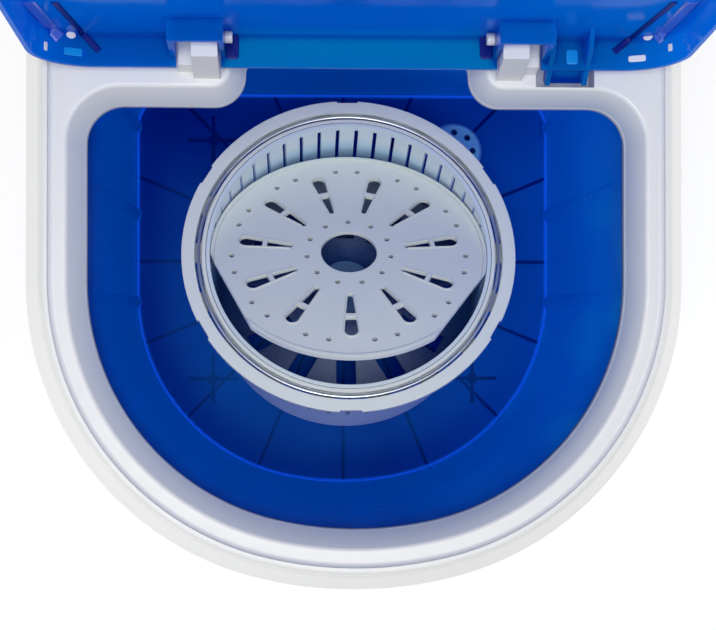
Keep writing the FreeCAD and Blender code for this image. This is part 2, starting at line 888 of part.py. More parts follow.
def make_gasket():
    body = piece("tub_gasket")
    plan = sketch(body, height=tub_rim)
    d_plan(plan, s.tub_inset, s.tub_rear_radius)
    d_plan(plan, s.tub_inset + s.tub_wall, s.tub_rear_radius - s.tub_wall)
    pad(body, plan, s.gasket_thickness)


def make_collar():
    body = piece("top_collar")
    plan = sketch(body, height=collar_bottom)
    d_plan(plan, 0, s.collar_rear_radius)
    skirt = pad(body, plan, s.collar_side)

    def rim(edge):
        return at_height(edge, collar_seat.value)

    sloped = chamfer(body, skirt, rim, s.collar_slope_width, s.collar_slope_drop, True)
    skirt_top = collar_seat - s.collar_slope_drop
    body.Tip = fillet(body, sloped, lambda e: at_height(e, skirt_top.value), s.collar_lip_radius)
    band_inset = s.collar_slope_width + s.collar_step
    band = sketch(body, height=collar_seat)
    d_plan(band, band_inset, s.collar_rear_radius - band_inset)
    raised = pad(body, band, s.collar_band)
    body.Tip = fillet(body, raised, lambda e: at_height(e, collar_top.value), s.collar_band_radius)
    deck_plan = sketch(body, height=collar_top)
    deck_inset = band_inset + s.deck_margin
    d_plan(deck_plan, deck_inset, s.collar_rear_radius - deck_inset)
    pocket(body, deck_plan, s.deck_recess)
    make_mouth(body)
    make_collar_underside(body)
    make_lugs(body)
    well = sketch(body, height=deck)
    well_x = s.stop_offset - s.stop_well_gap
    well_back = half_depth - s.stop_well_setback
    well_end = well_x + s.stop_width + 2 * s.stop_well_gap
    rectangle(well, well_x, well_end, well_back - s.stop_well_length, well_back)
    body.Tip = pocket(body, well, s.stop_well_depth)


def make_mouth(body):
    """The loading mouth, with a shallow alcove at the back between the hinge lugs."""
    mouth = sketch(body, height=deck)
    d_plan(mouth, s.mouth_inset, s.mouth_rear_radius, rear=shoulder)
    pocket(body, mouth, deck - collar_bottom)
    alcove = sketch(body, height=deck)
    half = s.alcove_width / 2
    back = shoulder + s.alcove_depth
    rectangle(alcove, -half, half, shoulder - s.alcove_depth, back)
    opened = pocket(body, alcove, deck - collar_bottom)

    def upright_at(edge, y):
        box = edge.BoundBox
        upright = box.ZLength > s.collar_band.value and box.XLength + box.YLength < 0.01
        return upright and abs(abs(box.XMin) - half.value) < 0.01 and abs(box.YMin - y) < 0.01

    turned = fillet(body, opened, lambda e: upright_at(e, shoulder.value), s.alcove_shoulder_radius)
    rounded = fillet(body, turned, lambda e: upright_at(e, back.value), s.alcove_corner_radius)
    body.Tip = rounded

    def mouth_edge(edge):
        box = edge.BoundBox
        inside = max(abs(box.XMin), abs(box.XMax)) < (half_width - s.mouth_inset).value + 0.01
        ahead = box.YMin > -(half_depth - s.mouth_inset).value - 0.01
        return at_height(edge, deck.value) and inside and ahead and box.YMax < back.value + 0.01

    sloped = chamfer(body, rounded, mouth_edge, s.mouth_chamfer_width, s.mouth_chamfer_drop, False)
    widest = half_width - s.mouth_inset + s.mouth_chamfer_width + s.mouth_edge_radius / 2

    def slope_edge(edge):
        box = edge.BoundBox
        top = at_height(edge, deck.value) or at_height(edge, (deck - s.mouth_chamfer_drop).value)
        return top and max(-box.XMin, box.XMax) < widest.value and box.YMax < widest.value

    body.Tip = fillet(body, sloped, slope_edge, s.mouth_edge_radius)


def make_collar_underside(body):
    """Hollows the collar from below, around the block that sits on the tub's rim."""
    skirt_top = collar_seat - s.collar_slope_drop
    low = sketch(body, height=collar_bottom)
    d_plan(low, s.collar_wall, s.collar_rear_radius - s.collar_wall)
    pocket(body, low, skirt_top - s.collar_wall - collar_bottom, backwards=True)
    slope = sketch(body, height=collar_bottom)
    slope_inset = s.collar_wall + s.collar_slope_width / 2
    d_plan(slope, slope_inset, s.collar_rear_radius - slope_inset)
    pocket(body, slope, collar_block - collar_bottom, backwards=True)
    channel = sketch(body, height=collar_block)
    outer = s.collar_slope_width + s.collar_step + s.collar_wall
    inner = s.mouth_inset - s.mouth_chamfer_width - s.collar_wall / 2
    d_plan(channel, outer, s.collar_rear_radius - outer)
    d_plan(channel, inner, s.tub_rear_radius + s.collar_wall)
    pocket(body, channel, deck - s.collar_wall - collar_block, backwards=True)


def make_lugs(body):
    """The two hinge lugs on the deck behind the mouth, bored for their pins."""
    start = s.lug_spacing / 2 - s.lug_width / 2
    side = sketch(body, "YZ_Plane", height=start)
    polygon(
        side,
        [
            (hinge_y - s.lug_foot, deck),
            (hinge_y - s.lug_front, hinge_z + s.lug_top),
            (hinge_y + s.lug_back - s.lug_width / 4, hinge_z + s.lug_top),
            (hinge_y + s.lug_back, hinge_z),
            (hinge_y + s.lug_back, deck),
        ],
    )
    lug = pad(body, side, s.lug_width)
    beside = sketch(body, "YZ_Plane", height=start + s.lug_width)
    step_top = deck + s.lug_step_height
    polygon(
        beside,
        [
            (hinge_y - s.lug_step_front, deck),
            (hinge_y - s.lug_step_front + s.lug_step_width / 4, step_top),
            (hinge_y + s.lug_step_back, step_top),
            (hinge_y + s.lug_step_back, deck),
        ],
    )
    step = pad(body, beside, s.lug_step_width)
    seat = sketch(body, "YZ_Plane", height=start)
    circle(seat, hinge_y, hinge_z, s.hinge_pin_radius)
    bore = pocket(body, seat, s.hinge_pin_seat, backwards=True)
    mirrored(body, [lug, step, bore])


def make_hinge_pins():
    body = piece("hinge_pins")
    ends = s.lug_spacing / 2 - s.lug_width / 2
    inner = ends - s.lid_notch_gap - s.lid_wall - s.hinge_pin_end
    shank = sketch(body, "YZ_Plane", height=inner)
    circle(shank, hinge_y, hinge_z, s.hinge_pin_radius)
    pin = pad(body, shank, ends + s.hinge_pin_seat - inner)
    mirrored(body, [pin])


def make_lid():
    """The lid about its hinge axis, drawn closed and then swung open."""
    body = piece("lid_shell", y=hinge_y, z=hinge_z, axis=(1, 0, 0), angle=-s.lid_open_angle)
    low = collar_top + s.lid_gap - hinge_z
    roof = s.lid_rise - s.lid_wall
    rear = hinge_y + s.lid_overhang
    plan = sketch(body, height=low)
    d_plan(plan, s.lid_inset, s.lid_rear_radius, rear=rear, shift=hinge_y)
    shell = pad(body, plan, s.lid_rise - low)
    body.Tip = fillet(body, shell, lambda e: at_height(e, s.lid_rise.value), s.lid_edge_radius)
    tab_front = -(half_depth - s.lid_inset) - hinge_y
    tab = sketch(body, height=low)
    tab_half = s.lid_tab_width / 2
    rectangle(tab, -tab_half, tab_half, tab_front - s.lid_tab_reach, tab_front + tab_half)
    pad(body, tab, s.lid_rise - s.lid_edge_radius - low)
    inside = sketch(body, height=low)
    inset = s.lid_inset + s.lid_wall
    d_plan(inside, inset, s.lid_rear_radius - s.lid_wall, rear=rear - s.lid_wall, shift=hinge_y)
    pocket(body, inside, roof - low, backwards=True)
    make_lid_notches(body, roof)
    make_stop_fins(body, roof)


def make_lid_notches(body, roof):
    """Openings around the lugs, walled so that each pin turns in the inner wall."""
    inner = s.lug_spacing / 2 - s.lug_width / 2 - s.lid_notch_gap
    outer = s.lug_spacing / 2 + s.lug_width / 2 + s.lug_step_width + s.lid_notch_gap
    walls = sketch(body, height=-s.lid_ear_drop)
    reach = s.lid_notch_reach
    rectangle(walls, inner - s.lid_wall, outer + s.lid_wall, -reach - s.lid_wall, s.lid_overhang)
    block = pad(body, walls, s.lid_ear_drop + roof + s.lid_wall / 2)
    gap = sketch(body, height=s.lid_rise)
    rectangle(gap, inner, outer, -reach, 2 * s.lid_overhang)
    notch = pocket(body, gap, s.lid_rise + 2 * s.lid_ear_drop)
    seat = sketch(body, "YZ_Plane", height=inner - 2 * s.lid_wall)
    circle(seat, 0, 0, s.hinge_pin_radius + s.hinge_fit)
    eye = pocket(body, seat, 3 * s.lid_wall, backwards=True)
    mirrored(body, [block, notch, eye])


def make_stop_fins(body, roof):
    """Two fins with a web, which swing into the deck's well and stop the open lid."""
    side = [
        (-s.stop_front, roof),
        (s.stop_back, roof),
        (s.stop_reach, -s.stop_drop),
        (s.stop_reach - s.stop_tip, -s.stop_drop - s.stop_tip_drop),
        (-s.stop_heel, -s.stop_heel_drop),
    ]
    for start in (s.stop_offset, s.stop_offset + s.stop_width - s.stop_fin):
        fin = sketch(body, "YZ_Plane", height=start)
        polygon(fin, side)
        body.Tip = pad(body, fin, s.stop_fin)
    web = sketch(body, "YZ_Plane", height=s.stop_offset)
    polygon(
        web,
        [
            (s.stop_back - s.stop_fin, roof),
            (s.stop_back, roof),
            (s.stop_reach, -s.stop_drop),
            (s.stop_reach - s.stop_tip / 2, -s.stop_drop - s.stop_tip_drop / 2),
        ],
    )
    body.Tip = pad(body, web, s.stop_width)


def leaning(label):
    """An empty body about the middle of the basket's ring, as the basket leans in the tub."""
    return piece(label, y=basket_y, z=basket_z, axis=(1, 0, 0), angle=-s.basket_lean)


def make_basket_ring():
    body = leaning("basket_ring")
    groove_out = ring_radius - s.ring_flange
    groove_in = groove_out - s.ring_groove
    inner = basket_mouth + s.basket_wall + s.basket_seam
    groove_floor = -s.ring_groove_depth
    flange_low = -s.ring_flange_thickness
    wall_out = groove_out + s.ring_flange_thickness
    section = sketch(body, "XZ_Plane")
    polygon(
        section,
        [
            (inner, ring_low),
            (wall_out, ring_low),
            (wall_out, flange_low),
            (ring_radius, flange_low),
            (ring_radius, 0),
            (groove_out, 0),
            (groove_out, groove_floor),
            (groove_in, groove_floor),
            (groove_in, -s.ring_rim_drop),
            (inner, -s.ring_rim_drop),
        ],
    )
    revolve(body, section)
    slot = sketch(body, height=groove_floor)
    middle = groove_out - s.ring_groove / 2
    length = middle * math.radians(s.ring_slot_angle.value)
    half = s.ring_groove / 2 - s.ring_slot_gap
    obround(slot, length, middle, half)
    ring_of(body, [pocket(body, slot, s.ring_floor)], slot, s.ring_slot_count)
    notch = sketch(body)
    deep = ring_radius - s.ring_notch_depth
    rectangle(notch, -s.ring_notch_width / 2, s.ring_notch_width / 2, deep, ring_radius + s.ring_notch_depth)
    ring_of(body, [pocket(body, notch, s.ring_flange_thickness)], notch, s.ring_notch_count)


def make_hoop():
    middle = ring_radius - s.ring_flange - s.ring_groove / 2
    body = leaning("balance_hoop")
    section = sketch(body, "XZ_Plane")
    circle(section, middle, s.hoop_radius - s.ring_groove_depth, s.hoop_radius)
    revolve(body, section)


def make_basket():
    body = leaning("spin_basket")
    top = -s.ring_rim_drop
    step_low = ring_low - s.basket_shoulder_depth
    low = -s.basket_depth
    floor_low = basket_floor_low
    floor_top = floor_low + s.basket_floor
    seat = floor_low + s.basket_grip
    screw_room = seat + s.drive_screw_height + s.basket_screw_gap
    hub_top = screw_room + s.basket_hub_roof
    outer = basket_mouth + s.basket_wall
    section = sketch(body, "XZ_Plane")
    polygon(
        section,
        [
            (0, floor_low),
            (basket_foot - s.basket_wall, floor_low),
            (basket_foot - s.basket_wall, low),
            (basket_foot + s.basket_wall, low),
            (outer, step_low - s.basket_shoulder),
            (outer + s.basket_shoulder, step_low),
            (outer + s.basket_shoulder, ring_low),
            (outer, ring_low),
            (outer, top),
            (basket_mouth, top),
            (basket_foot, floor_top),
            (s.basket_hub_radius, floor_top),
            (s.basket_hub_top_radius, hub_top),
            (0, hub_top),
        ],
    )
    revolve(body, section)
    socket = sketch(body, height=floor_low)
    hexagon(socket, s.drive_hex + 2 * s.drive_hex_fit)
    pocket(body, socket, s.basket_grip, backwards=True)
    room = sketch(body, height=seat)
    circle(room, 0, 0, s.drive_screw_radius + s.basket_screw_gap)
    pocket(body, room, screw_room - seat, backwards=True)
    slot = sketch(body, "XZ_Plane", height=basket_foot - s.basket_wall)
    half_slot = s.basket_slot_width / 2
    rectangle(slot, -half_slot, half_slot, floor_top + s.basket_slot_foot, ring_low - s.basket_slot_head)
    wall_slot = pocket(body, slot, ring_radius - basket_foot, backwards=True)
    ring_of(body, [wall_slot], plane(body, "Z_Axis"), s.basket_slot_count)
    drain = sketch(body, height=floor_top)
    half = s.basket_drain_width / 2
    rectangle(drain, s.basket_drain_inner, basket_foot - s.basket_drain_margin, -half, half)
    ring_of(body, [pocket(body, drain, s.basket_floor)], drain, s.basket_drain_count)
    pivots = sketch(body, "YZ_Plane", height=-basket_mouth - s.basket_wall)
    circle(pivots, 0, -s.cover_depth, s.cover_pin_radius + s.cover_pin_fit)
    body.Tip = pocket(body, pivots, 2 * (basket_mouth + s.basket_wall), backwards=True)


def wedge_slot(sk, near, near_half, far, far_half, round_far):
    """A tapered slot along Y with one round end, at far or at near."""
    end = far if round_far else near
    end_half = far_half if round_far else near_half
    start, start_half = (near, near_half) if round_far else (far, far_half)
    left = line(sk, (-end_half, end), (-start_half, start))
    bar = line(sk, (-start_half, start), (start_half, start))
    right = line(sk, (start_half, start), (end_half, end))
    if round_far:
        bow = arc(sk, 0, end, end_half, 0, math.pi)
        ends = (1, 2)
    else:
        bow = arc(sk, 0, end, end_half, math.pi, 2 * math.pi)
        ends = (2, 1)
    sk.addConstraint(Sketcher.Constraint("Coincident", left, 2, bar, 1))
    sk.addConstraint(Sketcher.Constraint("Coincident", bar, 2, right, 1))
    sk.addConstraint(Sketcher.Constraint("Coincident", right, 2, bow, ends[0]))
    sk.addConstraint(Sketcher.Constraint("Coincident", left, 1, bow, ends[1]))
    fix(sk, left, 1, -end_half, end)
    fix(sk, bar, 1, -start_half, start)
    fix(sk, bar, 2, start_half, start)
    fix(sk, right, 2, end_half, end)
    set_size(sk, "DistanceY", end, -1, 1, bow, 3)


def chord(sk, near, angle, far):
    """A box from near to far along a direction, which cuts a flat on a disc."""
    along = (cosine(angle), sine(angle))
    half = far / 2
    corners = []
    for reach, side in ((near, -half), (far + half, -half), (far + half, half), (near, half)):
        corners.append((reach * along[0] - side * along[1], reach * along[1] + side * along[0]))
    polygon(sk, corners)


def make_cover():
    """The pierced disc that closes the basket, leaning across the basket's mouth."""
    sunk_y = basket_y - s.cover_depth * sine(s.basket_lean)
    sunk_z = basket_z - s.cover_depth * cosine(s.basket_lean)
    body = piece("basket_cover", y=sunk_y, z=sunk_z, axis=(1, 0, 0), angle=-s.cover_tilt)
    edge = basket_mouth - s.cover_clearance
    slot_inner = s.cover_hole + s.cover_slot_start
    slot_outer = edge - s.cover_slot_margin
    bar_place = slot_inner + s.cover_bar_share * (slot_outer - slot_inner)
    vent_inner = s.cover_hole + s.cover_vent_start
    vent_outer = edge - s.cover_vent_margin
    half = s.cover_thickness / 2
    section = sketch(body, "XZ_Plane")
    polygon(
        section,
        [
            (s.cover_hole, -half),
            (edge, -half),
            (edge, half + s.cover_bead),
            (edge - s.cover_bead_width, half + s.cover_bead),
            (edge - s.cover_bead_width, half),
            (s.cover_hole, half),
        ],
    )
    revolve(body, section)
    lips = sketch(body, height=half)
    lip = s.cover_lip
    wedge_slot(
        lips,
        -slot_outer,
        s.cover_slot_wide + lip,
        -slot_inner,
        s.cover_slot_narrow + lip,
        False,
    )
    edging = pad(body, lips, s.cover_lip_height)
    slots = sketch(body, height=half + s.cover_lip_height)
    spread = (s.cover_slot_wide - s.cover_slot_narrow) / (slot_outer - slot_inner)
    inner_end = bar_place - s.cover_bar / 2
    outer_start = bar_place + s.cover_bar / 2
    at_inner = s.cover_slot_narrow + spread * (inner_end - slot_inner)
    at_outer = s.cover_slot_narrow + spread * (outer_start - slot_inner)
    wedge_slot(slots, -inner_end, at_inner, -slot_inner, s.cover_slot_narrow, True)
    wedge_slot(slots, -slot_outer, s.cover_slot_wide, -outer_start, at_outer, False)
    pierced = pocket(body, slots, s.cover_thickness + s.cover_lip_height)
    vents = sketch(body, height=half)
    between = 180.0 / s.cover_slot_count
    circle(vents, vent_inner * sine(between), -vent_inner * cosine(between), s.cover_vent)
    for side in (-1, 1):
        angle = between + side * s.cover_vent_angle
        circle(vents, vent_outer * sine(angle), -vent_outer * cosine(angle), s.cover_vent)
    drilled = pocket(body, vents, s.cover_thickness)
    ring_of(body, [edging, pierced, drilled], slots, s.cover_slot_count)
    flats = sketch(body, height=half + s.cover_bead)
    for angle in (s.cover_flat_front_right, s.cover_flat_front_left):
        chord(flats, edge * s.cover_flat_share, angle, edge)
    body.Tip = pocket(body, flats, s.cover_thickness + s.cover_bead)
    stub = sketch(body, "YZ_Plane", height=edge - s.cover_bead_width)
    circle(stub, 0, 0, s.cover_pin_radius)
    pin = pad(body, stub, s.cover_bead_width + s.cover_clearance + s.cover_pin_length)
    mirrored(body, [pin])


def make_pulsator():
    body = piece("pulsator", y=s.shaft_setback)
    low = tub_floor + s.pulsator_gap
    edge = low + s.pulsator_edge
    crown = low + s.pulsator_crown
    reach = basket_foot - s.pulsator_margin
    bore = s.shaft_radius + s.shaft_fit
    section = sketch(body, "XZ_Plane")
    polygon(
        section,
        [
            (bore, low),
            (reach, low),
            (reach, edge),
            (s.pulsator_hub_radius, crown),
            (bore, crown),
        ],
    )
    revolve(body, section)
    boss = sketch(body, height=crown)
    hexagon(boss, s.drive_hex)
    circle(boss, 0, 0, bore)
    pad(body, boss, boss_top - crown)
    vane = sketch(body, height=low)
    half = s.vane_width / 2
    rectangle(vane, s.vane_start, reach - s.vane_margin, -half, half)
    ring_of(body, [pad(body, vane, s.pulsator_crown + s.vane_height)], vane, s.vane_count)


def make_drive():
    shaft_top = boss_top - s.drive_screw_height
    pilot = shaft_top - s.drive_screw_bite
    shank = s.drive_screw_shank
    turned(
        "drive_shaft",
        [
            (0, s.shaft_bottom),
            (s.shaft_radius, s.shaft_bottom),
            (s.shaft_radius, shaft_top),
            (shank, shaft_top),
            (shank, pilot),
            (0, pilot),
        ],
        y=s.shaft_setback,
    )
    head = s.drive_screw_radius
    top = boss_top + s.drive_screw_height
    turned(
        "pulsator_screw",
        [(0, pilot), (shank, pilot), (shank, boss_top), (head, boss_top), (head, top), (0, top)],
        y=s.shaft_setback,
    )
    make_pulley()
    body = piece("pulley_nut", y=s.shaft_setback)
    flats = sketch(body, height=s.pulley_bottom - s.nut_height)
    hexagon(flats, s.nut_hex)
    circle(flats, 0, 0, s.shaft_radius + s.shaft_fit)
    pad(body, flats, s.nut_height)


def grooved(radius, bore, hub_top):
    """Half section of a V-belt pulley with its hub."""
    low = s.pulley_bottom
    high = low + s.pulley_width
    root = radius - s.pulley_groove
    flank = s.pulley_width / 2 - s.pulley_lip
    neck = s.belt_width / 2 + s.belt_gap
    return [
        (bore, low),
        (radius, low),
        (radius, belt_middle - flank),
        (root, belt_middle - neck),
        (root, belt_middle + neck),
        (radius, belt_middle + flank),
        (radius, high),
        (s.pulley_hub_radius if hub_top else bore, high),
    ] + ([(s.pulley_hub_radius, hub_top), (bore, hub_top)] if hub_top else [])


def make_pulley():
    body = piece("drive_pulley", y=s.shaft_setback)
    hub_top = s.pulley_bottom + s.pulley_hub_length
    section = sketch(body, "XZ_Plane")
    polygon(section, grooved(s.pulley_radius, s.shaft_radius + s.shaft_fit, hub_top))
    revolve(body, section)
    dish = sketch(body, "XZ_Plane")
    rim = s.pulley_radius - s.pulley_groove - s.pulley_rim
    web_top = s.pulley_bottom + s.pulley_web
    high = s.pulley_bottom + s.pulley_width
    polygon(dish, [(s.pulley_hub_radius, web_top), (rim, web_top), (rim, high), (s.pulley_hub_radius, high)])
    groove(body, dish)


def make_bearings():
    neck_top = tub_floor + s.housing_neck_rise
    bush_seat = s.bush_radius
    flange_low = floor_under - s.housing_flange
    turned(
        "bearing_housing",
        [
            (bush_seat, s.housing_bottom),
            (s.housing_radius, s.housing_bottom),
            (s.housing_radius, flange_low),
            (s.housing_flange_radius, flange_low),
            (s.housing_flange_radius, floor_under),
            (s.housing_neck_radius, floor_under),
            (s.housing_neck_radius, neck_top),
            (s.seal_radius, neck_top),
            (s.seal_radius, neck_top - s.seal_length),
            (bush_seat, neck_top - s.seal_length),
        ],
        y=s.shaft_setback,
    )
    inner = s.shaft_radius + s.shaft_fit
    low = s.housing_bottom + s.bush_inset
    turned("lower_bush", tube(bush_seat, inner, low, low + s.bush_length), y=s.shaft_setback)
    high = neck_top - s.seal_length - s.bush_inset
    turned("upper_bush", tube(bush_seat, inner, high - s.bush_length, high), y=s.shaft_setback)
    lip = s.shaft_radius + s.seal_gap
    turned("shaft_seal", tube(s.seal_radius, lip, neck_top - s.seal_length, neck_top), y=s.shaft_setback)


def make_motor():
    top = bracket_under
    low = top - s.motor_height
    cap = s.motor_radius - s.motor_cap_inset
    bore = s.motor_shaft_radius + s.motor_shaft_gap
    body = turned(
        "motor_body",
        [
            (bore, low),
            (cap - s.motor_cap_inset, low),
            (cap, low + s.motor_cap_inset),
            (cap, low + s.motor_cap),
            (s.motor_radius, low + s.motor_cap),
            (s.motor_radius, top - s.motor_cap),
            (cap, top - s.motor_cap),
            (cap, top),
            (bore, top),
        ],
        x=motor_x,
        y=motor_y,
    )
    taps = sketch(body, height=top)
    arm = s.motor_bolt_circle * cosine(45)
    circles(taps, [(i * arm, j * arm) for i in (-1, 1) for j in (-1, 1)], s.screw_radius)
    pocket(body, taps, s.motor_bolt_depth + s.screw_clearance)
    turned(
        "motor_shaft",
        stud(s.motor_shaft_radius, s.shaft_bottom, top - s.motor_cap),
        x=motor_x,
        y=motor_y,
    )
    turned(
        "motor_pulley",
        grooved(s.motor_pulley_radius, s.motor_shaft_radius, None),
        x=motor_x,
        y=motor_y,
    )
    make_motor_bracket()


def bolt_places():
    arm = s.motor_bolt_circle * cosine(45)
    return [(motor_x + i * arm, motor_y + j * arm) for i in (-1, 1) for j in (-1, 1)]


def make_motor_bracket():
    front = s.shaft_setback - s.boss_front
    side = half_width - s.boss_margin + s.bracket_margin
    body = piece("motor_bracket")
    plan = sketch(body, height=bracket_under)
    rear = s.shaft_setback - s.housing_radius - s.bolt_clearance
    left = motor_x - s.motor_bolt_circle
    polygon(
        plan,
        [
            (left, front - s.bracket_margin),
            (side, front - s.bracket_margin),
            (side, front + s.bracket_margin),
            (motor_x + s.motor_radius, rear),
            (left, rear),
        ],
    )
    pad(body, plan, s.bracket_thickness)
    holes = sketch(body, height=bracket_under)
    circles(holes, boss_places() + bolt_places(), s.screw_radius + s.screw_clearance)
    pocket(body, holes, s.bracket_thickness, backwards=True)
    sinks = sketch(body, height=bracket_under)
    circles(sinks, boss_places(), s.screw_head_radius + s.screw_clearance)
    pocket(body, sinks, s.screw_head_height, backwards=True)
    screws = piece("bracket_screws")
    heads = sketch(screws, height=bracket_under)
    circles(heads, boss_places(), s.screw_head_radius)
    pad(screws, heads, s.screw_head_height)
    shanks = sketch(screws, height=bracket_under)
    circles(shanks, boss_places(), s.screw_radius)
    pad(screws, shanks, s.bracket_thickness + s.screw_bite)
    bolts = piece("motor_bolts")
    caps = sketch(bolts, height=bracket_under + s.bracket_thickness)
    circles(caps, bolt_places(), s.screw_head_radius)
    pad(bolts, caps, s.screw_head_height)
    stems = sketch(bolts, height=bracket_under + s.bracket_thickness)
    circles(stems, bolt_places(), s.screw_radius)
    pad(bolts, stems, s.bracket_thickness + s.motor_bolt_depth, backwards=True)


def belt_loop(sk, x, y, near, far):
    """A loop round a circle at the origin and a smaller one at x, y."""
    span = math.hypot(x.value, y.value)
    along = math.atan2(y.value, x.value)
    lean = math.acos((near.value - far.value) / span)
    first, second = along + lean, along - lean + 2 * math.pi
    big = arc(sk, 0, 0, near, first, second)
    small = arc(sk, x, y, far, along - lean, along + lean)

    def on(radius, angle, cx=0.0, cy=0.0):
        return (cx + radius.value * math.cos(angle), cy + radius.value * math.sin(angle))

    runs = [
        line(sk, on(near, second), on(far, along - lean, x.value, y.value)),
        line(sk, on(far, along + lean, x.value, y.value), on(near, first)),
    ]
    for ends in ((big, 2, runs[0], 1), (runs[0], 2, small, 1), (small, 2, runs[1], 1), (runs[1], 2, big, 1)):
        sk.addConstraint(Sketcher.Constraint("Tangent", *ends))
    fix(sk, big, 3, 0, 0)
    fix(sk, small, 3, x, y)
    set_size(sk, "Radius", near, big)
    set_size(sk, "Radius", far, small)


def make_belt():
    body = piece("drive_belt", y=s.shaft_setback)
    plan = sketch(body, height=belt_middle - s.belt_width / 2)
    near = s.pulley_radius - s.pulley_groove + s.belt_gap
    far = s.motor_pulley_radius - s.pulley_groove + s.belt_gap
    belt_loop(plan, motor_x, s.motor_offset_y, near + s.belt_thickness, far + s.belt_thickness)
    belt_loop(plan, motor_x, s.motor_offset_y, near, far)
    pad(body, plan, s.belt_width)


def make_capacitor():
    radius = s.capacitor_radius
    turned(
        "run_capacitor",
        [
            (0, plate_top),
            (radius, plate_top),
            (radius, plate_top + s.capacitor_height),
            (radius / 2, plate_top + s.capacitor_height + s.capacitor_strap),
            (0, plate_top + s.capacitor_height + s.capacitor_strap),
        ],
        x=half_width - s.capacitor_side,
        y=base_front + s.capacitor_front,
    )
    inner = radius + s.capacitor_gap
    turned(
        "capacitor_clip",
        tube(inner + s.capacitor_strap, inner, plate_top, plate_top + s.capacitor_strap_height),
        x=half_width - s.capacitor_side,
        y=base_front + s.capacitor_front,
    )


def make_control(name, side, width, height, depth):
    """A switch body behind the front, its shaft through the dial and the knob on it."""
    x = side * s.knob_spacing / 2
    body = piece(f"{name}_body", x=x, y=dial_back, z=s.knob_height, axis=(1, 0, 0), angle=-SQUARE)
    plan = sketch(body)
    rectangle(plan, -width / 2, width / 2, -height / 2, height / 2)
    circle(plan, 0, 0, s.control_shaft_radius + s.control_shaft_fit)
    pad(body, plan, depth)
    face = dial_face - s.knob_gap
    shaft_end = s.knob_length - s.control_shaft_end
    inside = dial_back - face + depth / 2
    turned(
        f"{name}_shaft",
        stud(s.control_shaft_radius, -inside, shaft_end),
        x=x,
        y=face,
        z=s.knob_height,
        axis=(1, 0, 0),
        angle=SQUARE,
    )
    knob = piece(f"{name}_knob", x=x, y=face, z=s.knob_height, axis=(1, 0, 0), angle=SQUARE)
    section = sketch(knob, "XZ_Plane")
    grip = s.knob_grip_radius
    polygon(
        section,
        [
            (0, 0),
            (s.knob_radius, 0),
            (s.knob_radius - s.knob_skirt / 2, s.knob_skirt),
            (grip, s.knob_skirt),
            (grip - s.knob_skirt / 2, s.knob_length),
            (0, s.knob_length),
        ],
    )
    revolve(knob, section)
    sides = sketch(knob, height=s.knob_length)
    far = 2 * s.knob_radius
    rectangle(sides, s.knob_grip_width / 2, far, -far, far)
    rectangle(sides, -far, -s.knob_grip_width / 2, -far, far)
    pocket(knob, sides, s.knob_length - s.knob_skirt)
    seat = sketch(knob)
    circle(seat, 0, 0, s.control_shaft_radius)
    pocket(knob, seat, shaft_end, backwards=True)


def make_drain():
    body = piece("drain_elbow", x=drain_x)
    path = sketch(body, "YZ_Plane")
    bend = s.drain_bend
    end = base_rear + s.drain_end
    down = line(path, (drain_y, floor_under), (drain_y, s.drain_height + bend))
    turn = arc(path, drain_y + bend, s.drain_height + bend, bend, math.pi, 1.5 * math.pi)
    out = line(path, (drain_y + bend, s.drain_height), (end, s.drain_height))
    path.addConstraint(Sketcher.Constraint("Tangent", down, 2, turn, 1))
    path.addConstraint(Sketcher.Constraint("Tangent", turn, 2, out, 1))
    fix(path, down, 1, drain_y, floor_under)
    fix(path, out, 2, end, s.drain_height)
    path.addConstraint(Sketcher.Constraint("Vertical", down))
    path.addConstraint(Sketcher.Constraint("Horizontal", out))
    set_size(path, "Radius", bend, turn)
    mouth = sketch(body, height=floor_under, y=drain_y)
    circle(mouth, 0, 0, s.drain_radius)
    circle(mouth, 0, 0, s.drain_radius - s.drain_wall)
    pipe = feature(body, "AdditivePipe", mouth)
    pipe.Spine = (path, ["Edge1", "Edge2", "Edge3"])
    flange = sketch(body, height=floor_under, y=drain_y)
    circle(flange, 0, 0, s.drain_radius + s.drain_flange)
    circle(flange, 0, 0, s.drain_radius - s.drain_wall)
    body.Tip = pad(body, flange, s.drain_flange_thickness, backwards=True)
    make_filter()


def make_filter():
    """The pierced cap over the drain in the tub's floor."""
    body = piece("drain_filter", x=drain_x, y=drain_y, z=tub_floor)
    stem = s.drain_radius - s.drain_wall - s.filter_gap
    rim = s.filter_radius
    high = s.filter_height
    wall = s.drain_wall
    section = sketch(body, "XZ_Plane")
    polygon(
        section,
        [
            (stem - wall, -s.filter_spigot),
            (stem, -s.filter_spigot),
            (stem, 0),
            (rim, 0),
            (rim - wall, high - s.filter_dome),
            (stem - wall, high),
            (0, high),
            (0, high - wall),
            (stem - wall, high - wall),
        ],
    )
    revolve(body, section)
    hole = sketch(body, height=high)
    middle = (rim + stem) / 2
    circle(hole, middle - wall, 0, s.filter_hole)
    ring_of(body, [pocket(body, hole, high)], hole, s.filter_hole_count)


def make_gland():
    flange = s.gland_radius + s.gland_flange
    wall = s.base_wall
    turned(
        "cord_gland",
        [
            (s.gland_bore, -wall),
            (s.gland_radius, -wall),
            (s.gland_radius, 0),
            (flange, 0),
            (flange, wall),
            (s.gland_radius, wall),
            (s.gland_radius - wall, s.gland_length),
            (s.gland_bore, s.gland_length),
        ],
        x=-(half_width - s.gland_side),
        y=base_rear,
        z=s.gland_height,
        axis=(1, 0, 0),
        angle=-SQUARE,
    )


